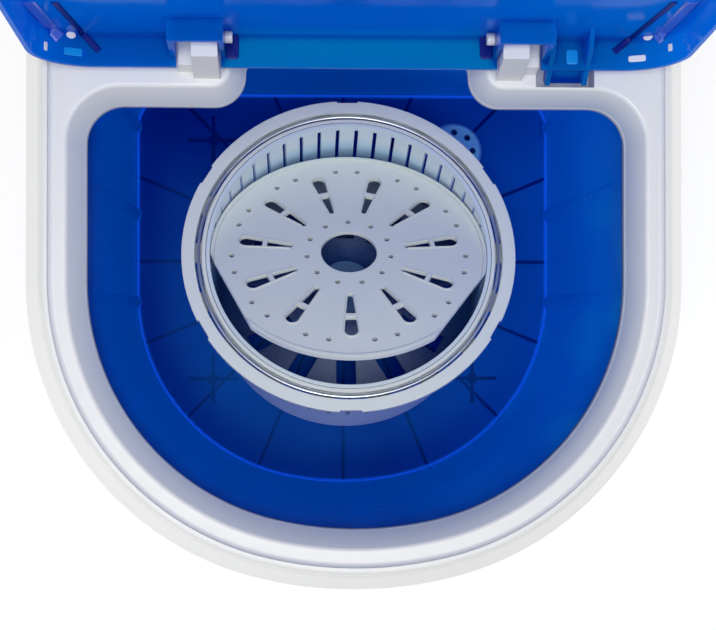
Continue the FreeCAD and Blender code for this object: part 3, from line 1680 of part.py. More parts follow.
def check_and_write():
    doc.recompute()
    for item in doc.Objects:
        if "Invalid" in item.State or "Error" in item.State:
            raise RuntimeError(f"{item.Label} failed: {item.State}")
        if item.TypeId in ("PartDesign::Pocket", "PartDesign::Groove"):
            if item.Shape.Volume >= item.BaseFeature.Shape.Volume - 0.01:
                raise RuntimeError(f"{item.Label} cuts nothing")
    os.makedirs("parts", exist_ok=True)
    for item in subparts:
        if item.Shape.isNull() or not item.Shape.isValid():
            raise RuntimeError(f"{item.Label} has no valid shape")
    for item in subparts:
        item.Shape.exportStep(f"parts/{item.Label}.step")


make_base_housing()
make_bottom_plate()
make_feet()
make_plate_screws()
make_tub()
make_gasket()
make_collar()
make_hinge_pins()
make_lid()
make_basket_ring()
make_hoop()
make_basket()
make_cover()
make_pulsator()
make_drive()
make_bearings()
make_motor()
make_belt()
make_capacitor()
make_control("timer", 1, s.timer_width, s.timer_height, s.timer_depth)
make_control("selector", -1, s.selector_width, s.selector_height, s.selector_depth)
make_drain()
make_gland()
check_and_write()
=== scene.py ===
import math

import bmesh
import bpy
from mathutils import Matrix, Vector
from mathutils.bvhtree import BVHTree


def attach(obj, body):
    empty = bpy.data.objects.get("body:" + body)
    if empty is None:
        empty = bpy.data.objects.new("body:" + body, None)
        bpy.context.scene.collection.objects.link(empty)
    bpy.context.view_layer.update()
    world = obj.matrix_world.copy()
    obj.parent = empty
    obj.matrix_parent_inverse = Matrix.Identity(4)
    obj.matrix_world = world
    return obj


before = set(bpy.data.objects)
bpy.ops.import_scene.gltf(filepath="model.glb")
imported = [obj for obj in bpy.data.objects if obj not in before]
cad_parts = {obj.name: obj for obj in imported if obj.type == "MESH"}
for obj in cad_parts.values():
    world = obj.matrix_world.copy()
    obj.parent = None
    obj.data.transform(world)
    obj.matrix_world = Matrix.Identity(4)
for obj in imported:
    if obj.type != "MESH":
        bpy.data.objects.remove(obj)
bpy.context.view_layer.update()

MM = 0.001

# The photograph's camera
PHOTO_WIDTH = 716
PHOTO_HEIGHT = 630
FOCAL_PIXELS = 1450.0
SENSOR_WIDTH = 36.0
CAMERA_PLACE = Vector((-32.4, -30.1, 1211.0)) * MM
CAMERA_AIM = Vector((0.0421, 0.0110, -1.0))

# Where the photograph shows the lid's details: columns and rows of its pixels
FOLD_LEFT = (99, 51), (54, 2)
FOLD_RIGHT = (614, 52), (675, 2)
# The corner bands carry a painted glare
GLARE_BAND_LEFT = (60, 38), (28, 2)
GLARE_BAND_RIGHT = (656, 40), (693, 2)
RECESS_LEFT = (232.5, 47)
RECESS_RIGHT = (486, 47)
BUFFER_LEFT = (71, 35)
BUFFER_RIGHT = (648, 37)
STUD_LEFT = (45.5, 46)
STUD_RIGHT = (670.5, 47.5)
PAD_LEFT = (75, 52)
PAD_RIGHT = (638, 58.5)
CLEAR_SPOT = (572, 57)

# Places on the machine, as in the CAD
SHAFT_Y = 18.5 * MM
TUB_FLOOR = 192.0 * MM
WEB_COUNT = 16
WEB_START = 38.0 * MM
WEB_HALF = 1.2 * MM
CROSS_X = 91.0 * MM
CROSS_FRONT = -63.5 * MM
CROSS_REAR = 103.5 * MM
CROSS_REACH = 17.0 * MM
BOSS_RADIUS = 3.4 * MM
BASKET_LEAN = math.radians(18.7)
RING_Z = 308.0 * MM
DECK = 449.5 * MM
MOUTH_FOOT = 434.5 * MM
MOUTH_REACH = 150.0 * MM
SKIRT_REACH = 164.0 * MM
FRONT_ARC_Y = 8.0 * MM
LID_FOOT = 452.0 * MM
LUG_INSIDE = 80.0 * MM
KNOB_X = 48.0 * MM
KNOB_Z = 92.0 * MM
DIAL_FACE = -153.0 * MM
KNOB_RADIUS = 23.0 * MM
KNOB_GRIP_RADIUS = 17.0 * MM
KNOB_FRONT = DIAL_FACE - 16.4 * MM

# Borders between tints, most of them painted light and shade: where each starts and ends
SKIRT_BORDER = (SKIRT_REACH, SKIRT_REACH + 6 * MM)
SKIRT_TOP = (DECK - 6 * MM, DECK - 2 * MM)
MOUTH_BORDER = (MOUTH_REACH, MOUTH_REACH + 8 * MM)
MOUTH_SIDES = (-140 * MM, 140 * MM)
MOUTH_LINE = 0.5 * MM
MOUTH_LINE_SOFT = 0.7 * MM
BASKET_INNER = (10 * MM, 40 * MM)
BASKET_SHADE_TONE_DEPTHS = (-75 * MM, -25 * MM)
BASKET_SHADE = (-45 * MM, -15 * MM)
BASKET_ROOM = 90 * MM
TUB_RIGHT = (30 * MM, 140 * MM)
TUB_FLAT = (0.3, 0.75)
FOOT_LINE = 0.7 * MM
FOOT_SLOPE = (0.05, 0.25)
LID_MIDDLE_HALF = 30 * MM
LID_MIDDLE_SOFT = 60 * MM
LID_RIGHT = (20 * MM, 150 * MM)
LID_LIGHT_BAND = (LID_FOOT + 8 * MM, LID_FOOT + 22 * MM)
LID_LIGHT_BAND_SOFT = 20 * MM
LID_FIN_SHADE_DEPTHS = (LID_FOOT - 3 * MM, LID_FOOT - 1 * MM)
EDGE_TURN = (0.72, 0.99)

# Painted light and shade on the white pieces
# Painted light on the collar's outer side
SKIRT_PAINTED_LIGHT = (0.94, 0.945, 0.95)
# Painted shade on the slope round the collar's mouth
MOUTH_PAINTED_SHADE = (0.4, 0.47, 0.6)
# Painted blue light from the tub and painted shade, inside the basket
BASKET_PAINTED_BLUE_LIGHT = (0.2, 0.6, 0.95)
BASKET_PAINTED_SHADE = (0.003, 0.05, 0.24)
# Painted shade in nooks: reach, where the shade starts and ends, and its colour
WHITE_NOOK_SHADE = (16 * MM, 0.05, 0.5, (0.3, 0.34, 0.44))
BASKET_NOOK_SHADE = (4 * MM, 0.2, 0.62, (0.04, 0.07, 0.14))

# Blues of the tub, with its painted light and shade
FLOOR_DARK = (0.001, 0.03, 0.42)
FLOOR_PALE = (0.001, 0.065, 0.5)
FLOOR_PAINTED_LIGHT = (0.001, 0.15, 0.75)
FLOOR_WEB = (0.001, 0.008, 0.24)
WALL_DARK = (0.001, 0.07, 0.45)
WALL_PALE = (0.001, 0.1, 0.55)
WALL_PAINTED_LIGHT = (0.001, 0.26, 0.95)
WALL_LIGHT_PATCH = (0.002, 0.42, 1.0)
TUB_NOOK_SHADE = (0.001, 0.015, 0.3)
# Painted highlight along the foot of the tub's walls
TUB_FOOT_HIGHLIGHT = (0.008, 0.17, 1.0)
# Painted highlight on the tub's edges
TUB_EDGE_HIGHLIGHT = (0.004, 0.2, 0.9)
TUB_GLOW = (0.001, 0.36, 0.9)
WEB_GLOW = (0.001, 0.05, 0.42)
# The painted highlight at the walls' foot: the light it lets through and its glow
FOOT_HIGHLIGHT_THROUGH = (0.03, 0.4, 1.0)
FOOT_HIGHLIGHT_GLOW = (0.005, 0.05, 0.6)

# Blues of the lid, with its painted light and shade
LID_DARK = (0.001, 0.28, 0.77)
LID_PALE = (0.002, 0.34, 0.84)
LID_MIDDLE = (0.001, 0.22, 0.69)
LID_PAINTED_LIGHT = (0.004, 0.45, 0.97)
LID_CYAN_LIGHT = (0.001, 0.72, 1.0)
LID_FIN_SHADE = (0.001, 0.05, 0.6)
LID_NOOK_SHADE = (0.001, 0.05, 0.5)
LID_EDGE_HIGHLIGHT = (0.03, 0.45, 0.95)
LID_GLOW = (0.001, 0.3, 0.9)
BLUE_SHINE = (0.02, 0.3, 1.0)

# Marks on the dials and the knobs
MARK_RISE = 0.15 * MM
MARK_SINK = 0.1 * MM
MARK_TOP = 0.8
TICK_START = KNOB_RADIUS + 1.2 * MM
TICK_END = KNOB_RADIUS + 3.2 * MM
TICK_HALF = 0.45 * MM
TICK_TAPER = 0.6
FINE_TICK_END = KNOB_RADIUS + 2.6 * MM
FINE_TICK_HALF = 0.28 * MM
NUMBER_RADIUS = KNOB_RADIUS + 5.6 * MM
NUMBER_SIZE = 3.6 * MM
NUMBER_DEPTH = 0.08 * MM
POINTER_HALF = 1.1 * MM
POINTER_START = 4.0 * MM
POINTER_TIP = KNOB_GRIP_RADIUS - 2.2 * MM
POINTER_POINT = 1.0 * MM
POINTER_TAPER = 0.3
TIMER_SPAN = 300.0
TIMER_TICKS = 30
SELECTOR_SPAN = 120.0
SELECTOR_TICKS = 2

# Ribs and plates on the lid
FOLD_WIDTH = 4.0 * MM
GLARE_BAND_WIDTH = 8.0 * MM
RIB_STEPS = 14
RIB_RISE = 0.6 * MM
RIB_SINK = 0.3 * MM
RIB_TOP = 0.6
PLATE_SIDES = 28
# A plate's rows: their rise and their share of its size
PLATE_PROFILE = ((-0.3 * MM, 1.0), (0.25 * MM, 1.0), (0.4 * MM, 0.86))

# The stage
FLOOR_REACH = 6.0
FLOOR_COLOUR = (0.9, 0.9, 0.9)
FLOOR_ROUGHNESS = 0.9
FLOOR_GLOW = (0.3, 0.9)
FLOOR_GLOW_PLACE = (0.5, 2.0)
WHITE = (1.0, 1.0, 1.0)
WORLD_LIGHT = 0.4
# Lamps: name, place, aim, size in metres, power in watts
LAMPS = (
    ("top", (-0.1, -0.2, 2.4), (0, 0, 0.3), 0.8, 18),
    ("right", (1.3, -0.3, 1.6), (0, 0, 0.35), 1.0, 2.2),
    ("side", (1.5, 0.1, 0.45), (0, 0, 0.3), 0.8, 2.5),
    ("left", (-1.5, -0.7, 0.9), (0, 0, 0.35), 1.2, 5),
)

# Settings of the nodes
MIX_FIRST = 6
MIX_SECOND = 7
MIX_RESULT = 2
BEVEL_SAMPLES = 6
SHARE_SAMPLES = 8
CLOUD_SCALE = 28.0
POLISH_SCALE = 140.0
PLASTIC_EDGE = 0.7 * MM


def node_material(name):
    """A new node material, with its tree and its Principled shader."""
    material = bpy.data.materials.new(name)
    material.use_nodes = True
    return material, material.node_tree, material.node_tree.nodes["Principled BSDF"]


def feed(tree, socket, value):
    """Gives a socket a number, a colour or what another node puts out."""
    if isinstance(value, (int, float)):
        socket.default_value = value
    elif isinstance(value, tuple):
        socket.default_value = (*value, 1.0)
    else:
        tree.links.new(value, socket)


def give(tree, node, **inputs):
    """Feeds a node's inputs by their names, with underscores for spaces."""
    for key, value in inputs.items():
        feed(tree, node.inputs[key.replace("_", " ")], value)


def add(tree, kind, **inputs):
    """A new node with its inputs fed."""
    node = tree.nodes.new(kind)
    give(tree, node, **inputs)
    return node


def math_node(tree, operation, *values):
    """The result of a sum on numbers and sockets."""
    node = tree.nodes.new("ShaderNodeMath")
    node.operation = operation
    for socket, value in zip(node.inputs, values):
        feed(tree, socket, value)
    return node.outputs[0]


def times(tree, first, second):
    return math_node(tree, "MULTIPLY", first, second)


def less(tree, first, second):
    return math_node(tree, "SUBTRACT", first, second)


def mixed(tree, factor, first, second):
    """Mixes two colours, each a tuple or a socket, by a factor socket."""
    node = tree.nodes.new("ShaderNodeMix")
    node.data_type = "RGBA"
    give(tree, node, Factor=factor)
    feed(tree, node.inputs[MIX_FIRST], first)
    feed(tree, node.inputs[MIX_SECOND], second)
    return node.outputs[MIX_RESULT]


def split(tree, vector):
    """The three parts of a vector socket."""
    node = tree.nodes.new("ShaderNodeSeparateXYZ")
    tree.links.new(vector, node.inputs[0])
    return node.outputs


def place(tree, kind="Object"):
    """The three coordinates of the shaded point, or of its normal, in the piece's own frame."""
    return split(tree, tree.nodes.new("ShaderNodeTexCoord").outputs[kind])


def noise(tree, scale, detail=3.0, stretch=(1, 1, 1)):
    """A noise of 0 to 1 in the piece's own frame."""
    coords = tree.nodes.new("ShaderNodeTexCoord")
    mapping = add(tree, "ShaderNodeMapping", Vector=coords.outputs["Object"])
    mapping.inputs["Scale"].default_value = stretch
    node = add(tree, "ShaderNodeTexNoise", Scale=scale, Detail=detail, Vector=mapping.outputs[0])
    return node.outputs["Fac"]


def ranged(tree, value, low, high, start=0.0, end=1.0):
    """Maps a value from start..end to low..high and holds it there."""
    node = add(
        tree, "ShaderNodeMapRange", Value=value, From_Min=start, From_Max=end, To_Min=low, To_Max=high)
    return node.outputs["Result"]


def within(tree, value, half, soft):
    """1 where a value is within half of zero, 0 past a soft border."""
    return ranged(tree, math_node(tree, "ABSOLUTE", value), 1, 0, half, half + soft)


def patches(tree, scale, detail, low, high, stretch=(1, 1, 1)):
    """Soft patches: 0 where a noise is below low, 1 where it is above high."""
    return ranged(tree, noise(tree, scale, detail, stretch), 0, 1, low, high)


def relief(tree, shader, height, strength, distance, edge):
    """A fine bump on a surface whose sharp edges look rounded."""
    rounded = add(tree, "ShaderNodeBevel", Radius=edge)
    rounded.samples = BEVEL_SAMPLES
    normal = rounded.outputs["Normal"]
    bump = add(
        tree, "ShaderNodeBump", Strength=strength, Distance=distance, Height=height, Normal=normal)
    give(tree, shader, Normal=bump.outputs["Normal"])


def edge_share(tree, reach):
    """How far a point lies on an edge: 0 on a plain face, 1 on a sharp edge."""
    rounded = add(tree, "ShaderNodeBevel", Radius=reach)
    rounded.samples = SHARE_SAMPLES
    face = tree.nodes.new("ShaderNodeNewGeometry")
    dot = tree.nodes.new("ShaderNodeVectorMath")
    dot.operation = "DOT_PRODUCT"
    tree.links.new(rounded.outputs["Normal"], dot.inputs[0])
    tree.links.new(face.outputs["Normal"], dot.inputs[1])
    return ranged(tree, dot.outputs["Value"], 1, 0, *EDGE_TURN)


def hidden_share(tree, reach, low, high):
    """How closely a point is shut in by what is within reach: 0 in the open, 1 in a hole."""
    node = add(tree, "ShaderNodeAmbientOcclusion", Distance=reach)
    node.samples = SHARE_SAMPLES
    return ranged(tree, node.outputs["AO"], 1, 0, low, high)


def facing_up(tree):
    """How far a face looks up or down: 0 on a wall, 1 on a floor."""
    face = tree.nodes.new("ShaderNodeNewGeometry")
    return math_node(tree, "ABSOLUTE", split(tree, face.outputs["Normal"])[2])


def plan_length(tree, x, y):
    """The length of a line in plan."""
    return math_node(tree, "SQRT", math_node(tree, "ADD", times(tree, x, x), times(tree, y, y)))


def plan_reach(tree, x, y):
    """How far out a point lies in the collar's plan, with its straight sides and round front."""
    ahead = math_node(tree, "MINIMUM", less(tree, y, FRONT_ARC_Y), 0.0)
    return plan_length(tree, x, ahead)


def skirt_painted_light(tree):
    """Painted light on the collar's outer side, making it a little paler than its top."""
    x, y, z = place(tree)
    outside = ranged(tree, plan_reach(tree, x, y), 0, 1, *SKIRT_BORDER)
    return times(tree, outside, ranged(tree, z, 1, 0, *SKIRT_TOP)), SKIRT_PAINTED_LIGHT


def mouth_shade(tree):
    """Painted shade on the slope round the collar's mouth, darker towards the tub and on the right side,
    with a painted highlight along its foot.
    """
    x, y, z = place(tree)
    inside = ranged(tree, plan_reach(tree, x, y), 1, 0, *MOUTH_BORDER)
    drop = ranged(tree, z, 1, 0, MOUTH_FOOT, DECK)
    # A painted highlight along the slope's foot, kept free of the painted shade
    pale_foot_highlight = within(tree, less(tree, z, MOUTH_FOOT), MOUTH_LINE, MOUTH_LINE_SOFT)
    share = times(tree, inside, less(tree, drop, pale_foot_highlight))
    # More painted shade on the right side of the slope than on the left
    return times(tree, share, ranged(tree, x, 0.4, 1.0, *MOUTH_SIDES)), MOUTH_PAINTED_SHADE


def sunk_shade(tree):
    """Painted shade and painted blue light from the tub inside the leaning basket: darker and bluer the
    deeper it lies.
    """
    x, y, z = place(tree)
    y = less(tree, y, SHAFT_Y)
    rise = times(tree, less(tree, z, RING_Z), math.cos(BASKET_LEAN))
    along = math_node(tree, "ADD", rise, times(tree, y, math.sin(BASKET_LEAN)))
    off_axis = less(tree, y, times(tree, along, math.sin(BASKET_LEAN)))
    normal_x, normal_y, _ = place(tree, "Normal")
    outward = math_node(tree, "ADD", times(tree, x, normal_x), times(tree, off_axis, normal_y))
    inner = ranged(tree, outward, 1, 0, *BASKET_INNER)
    tone = mixed(tree, ranged(tree, along, 1, 0, *BASKET_SHADE_TONE_DEPTHS), BASKET_PAINTED_BLUE_LIGHT, BASKET_PAINTED_SHADE)
    below = times(tree, ranged(tree, along, 1, 0, *BASKET_SHADE), inner)
    return times(tree, below, hidden_share(tree, BASKET_ROOM, 0.4, 0.9)), tone


def moulded(name, colour, shade, roughness, grain=900.0, shine=0.5, nook_shades=(), tints=()):
    """Moulded plastic: slight cloudiness, fine grain, rounded edges, painted shade in nooks, and tints of
    painted light and shade.
    """
    material, tree, shader = node_material(name)
    tone = mixed(tree, noise(tree, CLOUD_SCALE), colour, shade)
    for tint in tints:
        share, tinted = tint(tree)
        tone = mixed(tree, share, tone, tinted)
    # Painted shade where a point is shut in
    for reach, low, high, depth in nook_shades:
        tone = mixed(tree, hidden_share(tree, reach, low, high), tone, depth)
    polish = ranged(tree, noise(tree, POLISH_SCALE), roughness - 0.05, roughness + 0.07)
    give(tree, shader, Base_Color=tone, Roughness=polish, Specular_IOR_Level=shine)
    relief(tree, shader, noise(tree, grain, 2.0), 0.06, 0.2 * MM, PLASTIC_EDGE)
    return material


def metal(name, colour, shade, roughness, grain):
    """Metal, slightly uneven in tone and polish."""
    material, tree, shader = node_material(name)
    tone = mixed(tree, noise(tree, grain), colour, shade)
    polish = ranged(tree, noise(tree, grain * 2), roughness - 0.08, roughness + 0.1)
    give(tree, shader, Metallic=1.0, Base_Color=tone, Roughness=polish)
    relief(tree, shader, noise(tree, grain * 3), 0.05, 0.1 * MM, 0.3 * MM)
    return material


def glow_through(tree, shader, colour, share):
    """Lets a share of the light from behind pass through, tinted."""
    back = add(tree, "ShaderNodeBsdfTranslucent", Color=colour)
    blend = add(tree, "ShaderNodeMixShader", Fac=share)
    tree.links.new(shader.outputs[0], blend.inputs[1])
    tree.links.new(back.outputs[0], blend.inputs[2])
    tree.links.new(blend.outputs[0], tree.nodes["Material Output"].inputs["Surface"])


def web_lines(tree, x, y):
    """Marks the webs and crosses under the tub's floor, which show through it."""
    depth = less(tree, y, SHAFT_Y)
    radius = plan_length(tree, x, depth)
    turn = math_node(tree, "ARCTAN2", depth, x)
    offset = math_node(tree, "PINGPONG", turn, math.pi / WEB_COUNT)
    spoke = within(tree, times(tree, offset, radius), WEB_HALF * 0.5, WEB_HALF)
    marks = times(tree, spoke, ranged(tree, radius, 0, 1, WEB_START, WEB_START + 2 * MM))
    for cross_x, cross_y in ((CROSS_X, CROSS_FRONT), (-CROSS_X, CROSS_FRONT), (-CROSS_X, CROSS_REAR)):
        dx = less(tree, x, cross_x)
        dy = less(tree, y, cross_y)
        for along, over in ((dx, dy), (dy, dx)):
            length = within(tree, along, CROSS_REACH, 0.5 * MM)
            bar = times(tree, length, within(tree, over, WEB_HALF * 0.5, WEB_HALF))
            marks = math_node(tree, "MAXIMUM", marks, bar)
        boss = ranged(tree, plan_length(tree, dx, dy), 1, 0, BOSS_RADIUS, BOSS_RADIUS + 1 * MM)
        marks = math_node(tree, "MAXIMUM", marks, boss)
    return marks


def tub_plastic():
    """Blue tinted plastic with painted light and shade: a floor painted darker than the walls with the
    webs under it showing through, painted streaks on the walls, painted light on the right side, painted
    shade in nooks, and painted highlights along the walls' foot and on edges.
    """
    material, tree, shader = node_material("tub_blue")
    x, y, z = place(tree)
    up = facing_up(tree)
    # Painted light on the tub's right side, floor and wall, with painted patches of light on the wall
    right = ranged(tree, x, 0, 1, *TUB_RIGHT)
    webs = web_lines(tree, x, y)
    floor = mixed(tree, patches(tree, 9.0, 2.0, 0.4, 0.65), FLOOR_DARK, FLOOR_PALE)
    floor = mixed(tree, right, floor, FLOOR_PAINTED_LIGHT)
    floor = mixed(tree, webs, floor, FLOOR_WEB)
    # Painted streaks of light and shade refracted by the wall's ribs, at random along the walls
    refracted_streak = patches(tree, 6.0, 2.0, 0.42, 0.62, (6, 6, 0.8))
    light_patch = patches(tree, 11.0, 1.0, 0.46, 0.56, (1, 1.6, 0.5))
    wall = mixed(tree, refracted_streak, WALL_DARK, WALL_PALE)
    wall = mixed(tree, right, wall, WALL_PAINTED_LIGHT)
    wall = mixed(tree, times(tree, right, light_patch), wall, WALL_LIGHT_PATCH)
    # The floor is painted a darker blue than the walls, as shade
    colour = mixed(tree, ranged(tree, up, 0, 1, *TUB_FLAT), wall, floor)
    # Painted shade in the tub's nooks
    colour = mixed(tree, times(tree, hidden_share(tree, 6 * MM, 0.5, 0.85), 0.8), colour, TUB_NOOK_SHADE)
    # A painted highlight along the foot of the walls; it also glows and lets more light through
    above = less(tree, z, TUB_FLOOR)
    foot_highlight = within(tree, less(tree, above, FOOT_LINE), FOOT_LINE * 0.5, FOOT_LINE * 0.5)
    foot_highlight = times(tree, foot_highlight, ranged(tree, up, 0, 1, *FOOT_SLOPE))
    colour = mixed(tree, foot_highlight, colour, TUB_FOOT_HIGHLIGHT)
    # Painted highlights on the tub's edges
    colour = mixed(tree, times(tree, edge_share(tree, 2 * MM), 0.6), colour, TUB_EDGE_HIGHLIGHT)
    give(
        tree, shader, Base_Color=colour, Roughness=ranged(tree, noise(tree, 70.0), 0.2, 0.3),
        Specular_IOR_Level=0.35, Specular_Tint=BLUE_SHINE,
        Emission_Color=FOOT_HIGHLIGHT_GLOW, Emission_Strength=times(tree, foot_highlight, 0.8))
    relief(tree, shader, noise(tree, 60.0, 2.0), 0.05, 0.3 * MM, 0.8 * MM)
    glow = mixed(tree, times(tree, webs, up), TUB_GLOW, WEB_GLOW)
    glow_through(tree, shader, mixed(tree, foot_highlight, glow, FOOT_HIGHLIGHT_THROUGH), 0.45)
    return material


def lid_plastic():
    """Clear blue plastic, darker in the middle, with painted light on its right side, a painted band of
    cyan light between the lugs, painted shade on the fins below its foot and in nooks, and painted
    highlights on its edges.
    """
    material, tree, shader = node_material("lid_blue")
    x, _, z = place(tree)
    colour = mixed(tree, patches(tree, 7.0, 2.0, 0.4, 0.65, (0.6, 3, 3)), LID_DARK, LID_PALE)
    middle = times(tree, within(tree, x, LID_MIDDLE_HALF, LID_MIDDLE_SOFT), 0.7)
    colour = mixed(tree, middle, colour, LID_MIDDLE)
    # Painted light on the lid's right side
    colour = mixed(tree, ranged(tree, x, 0.0, 0.8, *LID_RIGHT), colour, LID_PAINTED_LIGHT)
    # A painted band of cyan light low on the lid, between the lugs
    light_band = ranged(tree, z, 0.9, 0.0, *LID_LIGHT_BAND)
    light_band = times(tree, light_band, within(tree, x, LUG_INSIDE, LID_LIGHT_BAND_SOFT))
    colour = mixed(tree, light_band, colour, LID_CYAN_LIGHT)
    # Painted shade on the fins and the rest of the lid below its foot, down in the collar's well
    colour = mixed(tree, ranged(tree, z, 1, 0, *LID_FIN_SHADE_DEPTHS), colour, LID_FIN_SHADE)
    # Painted shade in the lid's nooks
    colour = mixed(tree, hidden_share(tree, 7 * MM, 0.45, 0.8), colour, LID_NOOK_SHADE)
    # Painted highlights on the lid's edges
    colour = mixed(tree, times(tree, edge_share(tree, 1.6 * MM), 0.7), colour, LID_EDGE_HIGHLIGHT)
    give(
        tree, shader, Base_Color=colour, Roughness=ranged(tree, noise(tree, 80.0), 0.06, 0.14),
        Transmission_Weight=0.6, IOR=1.3, Specular_IOR_Level=0.3, Specular_Tint=BLUE_SHINE)
    relief(tree, shader, noise(tree, 40.0, 2.0), 0.04, 0.3 * MM, 0.6 * MM)
    glow_through(tree, shader, LID_GLOW, 0.4)
    return material


def dress(material, *names):
    """Gives nodes of the CAD their finish."""
    for name in names:
        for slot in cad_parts[name].material_slots:
            slot.material = material


white = moulded("white_shell", (0.84, 0.845, 0.85), (0.81, 0.818, 0.83), 0.34, nook_shades=(WHITE_NOOK_SHADE,))
collar_white = moulded(
    "collar_white", (0.8, 0.805, 0.8), (0.77, 0.778, 0.78), 0.32,
    nook_shades=(WHITE_NOOK_SHADE,), tints=(mouth_shade, skirt_painted_light))
basket_white = moulded(
    "basket_white", (0.92, 0.96, 0.88), (0.89, 0.94, 0.86), 0.34, nook_shades=(BASKET_NOOK_SHADE,))
inner_white_and_painted_shade = moulded("inner_white_and_painted_shade", (0.8, 0.9, 0.94), (0.77, 0.88, 0.92), 0.34, tints=(sunk_shade,))
tub_blue = tub_plastic()
lid_blue = lid_plastic()
filter_blue = moulded("filter_blue", (0.2, 0.55, 0.85), (0.17, 0.5, 0.8), 0.35)
knob_white = moulded("knob_white", (0.8, 0.81, 0.83), (0.77, 0.78, 0.81), 0.38)
dark = moulded("dark_plastic", (0.07, 0.072, 0.078), (0.055, 0.057, 0.062), 0.5)
rubber = moulded("black_rubber", (0.022, 0.022, 0.023), (0.016, 0.016, 0.017), 0.75, grain=500.0)
marking = moulded("dial_print", (0.03, 0.09, 0.36), (0.025, 0.08, 0.32), 0.5)
# Raised glossy bands at the lid's corners; their lilac colour is a painted glare
glare_band_blue = moulded("glare_band_blue", (0.14, 0.22, 0.8), (0.02, 0.12, 0.6), 0.15, shine=1.0)
deep_blue = moulded("deep_blue", (0.002, 0.012, 0.22), (0.001, 0.01, 0.18), 0.3, shine=0.2)
pale_blue = moulded("pale_blue", (0.005, 0.3, 0.78), (0.004, 0.26, 0.72), 0.25, shine=0.3)
buffer_white = moulded("buffer_white", (0.86, 0.87, 0.88), (0.82, 0.83, 0.85), 0.45)
wire = metal("bright_wire", (0.86, 0.87, 0.88), (0.78, 0.79, 0.8), 0.3, 160.0)
steel = metal("plated_steel", (0.62, 0.63, 0.65), (0.55, 0.56, 0.58), 0.28, 160.0)
alloy = metal("cast_alloy", (0.66, 0.67, 0.68), (0.56, 0.57, 0.58), 0.42, 90.0)
bronze = metal("sintered_bronze", (0.55, 0.36, 0.16), (0.46, 0.3, 0.13), 0.45, 300.0)
paint = moulded("motor_paint", (0.09, 0.095, 0.1), (0.075, 0.08, 0.085), 0.4)

dress(white, "base_housing", "bottom_plate", "hinge_pins")
dress(collar_white, "top_collar")
dress(basket_white, "basket_ring", "basket_cover")
# White plastic, with painted shade and painted blue light inside the basket
dress(inner_white_and_painted_shade, "spin_basket", "pulsator")
dress(tub_blue, "tub")
dress(lid_blue, "lid_shell")
dress(filter_blue, "drain_filter")
dress(knob_white, "timer_knob", "selector_knob")
dress(dark, "bearing_housing", "timer_body", "selector_body", "run_capacitor", "drain_elbow")
dress(rubber, "rubber_feet", "tub_gasket", "shaft_seal", "drive_belt", "cord_gland")
dress(
    steel, "plate_screws", "pulsator_screw", "drive_shaft", "pulley_nut",
    "motor_shaft", "bracket_screws", "motor_bolts", "timer_shaft", "selector_shaft", "capacitor_clip",
)
dress(wire, "balance_hoop")
dress(alloy, "drive_pulley", "motor_pulley")
dress(bronze, "lower_bush", "upper_bush")
dress(paint, "motor_body", "motor_bracket")


def keep(obj, body, material):
    """Puts a new piece in the scene, on its body and with its finish."""
    obj.data.materials.append(material)
    bpy.context.scene.collection.objects.link(obj)
    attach(obj, body)


def loft(mesh, rows):
    """Adds a closed solid through rows of points to a mesh in the making."""
    rings = [[mesh.verts.new(point) for point in row] for row in rows]
    for first, second in zip(rings, rings[1:]):
        for k in range(len(first)):
            mesh.faces.new((first[k - 1], first[k], second[k], second[k - 1]))
    mesh.faces.new(rings[0])
    mesh.faces.new(tuple(reversed(rings[-1])))


def solid(name, lofts, body, material):
    """A piece made of one or more closed solids, on its body."""
    mesh = bmesh.new()
    for rows in lofts:
        loft(mesh, rows)
    bmesh.ops.recalc_face_normals(mesh, faces=mesh.faces)
    data = bpy.data.meshes.new(name)
    mesh.to_mesh(data)
    mesh.free()
    keep(bpy.data.objects.new(name, data), body, material)


def on_dial(x, angle, radius, out):
    """A point in front of a dial's face, at an angle counted anticlockwise from the top."""
    turn = math.radians(angle)
    return Vector((x - radius * math.sin(turn), DIAL_FACE - out, KNOB_Z + radius * math.cos(turn)))


def tick(x, angle, end, half):
    """The rows of a raised tick with tapered ends on a dial."""
    turn = math.radians(angle)
    side = Vector((math.cos(turn), 0, math.sin(turn)))
    outline = (
        (TICK_START, half * TICK_TAPER), (TICK_START + half, half),
        (end - half, half), (end, half * TICK_TAPER),
    )
    rows = []
    for radius, width in outline:
        low = on_dial(x, angle, radius, -MARK_SINK)
        high = on_dial(x, angle, radius, MARK_RISE)
        edge = side * width
        rows.append((low - edge, high - edge * MARK_TOP, high + edge * MARK_TOP, low + edge))
    return rows


def dial_marks(name, x, labels, span, fine):
    """Ticks and numbers round a knob, in print."""
    angles = [span * k / (len(labels) - 1) for k in range(len(labels))]
    ticks = [tick(x, span * k / fine, FINE_TICK_END, FINE_TICK_HALF) for k in range(fine + 1)]
    ticks += [tick(x, angle, TICK_END, TICK_HALF) for angle in angles]
    solid(f"{name}_ticks", ticks, "cabinet", marking)
    for k, label in enumerate(labels):
        text = bpy.data.curves.new(f"{name}_number_{k}", "FONT")
        text.body = label
        text.size = NUMBER_SIZE
        text.extrude = NUMBER_DEPTH
        text.align_x = "CENTER"
        text.align_y = "CENTER"
        obj = bpy.data.objects.new(f"{name}_number_{k}", text)
        obj.location = on_dial(x, angles[k], NUMBER_RADIUS, NUMBER_DEPTH)
        obj.rotation_euler = (math.pi / 2, 0, 0)
        keep(obj, "cabinet", marking)


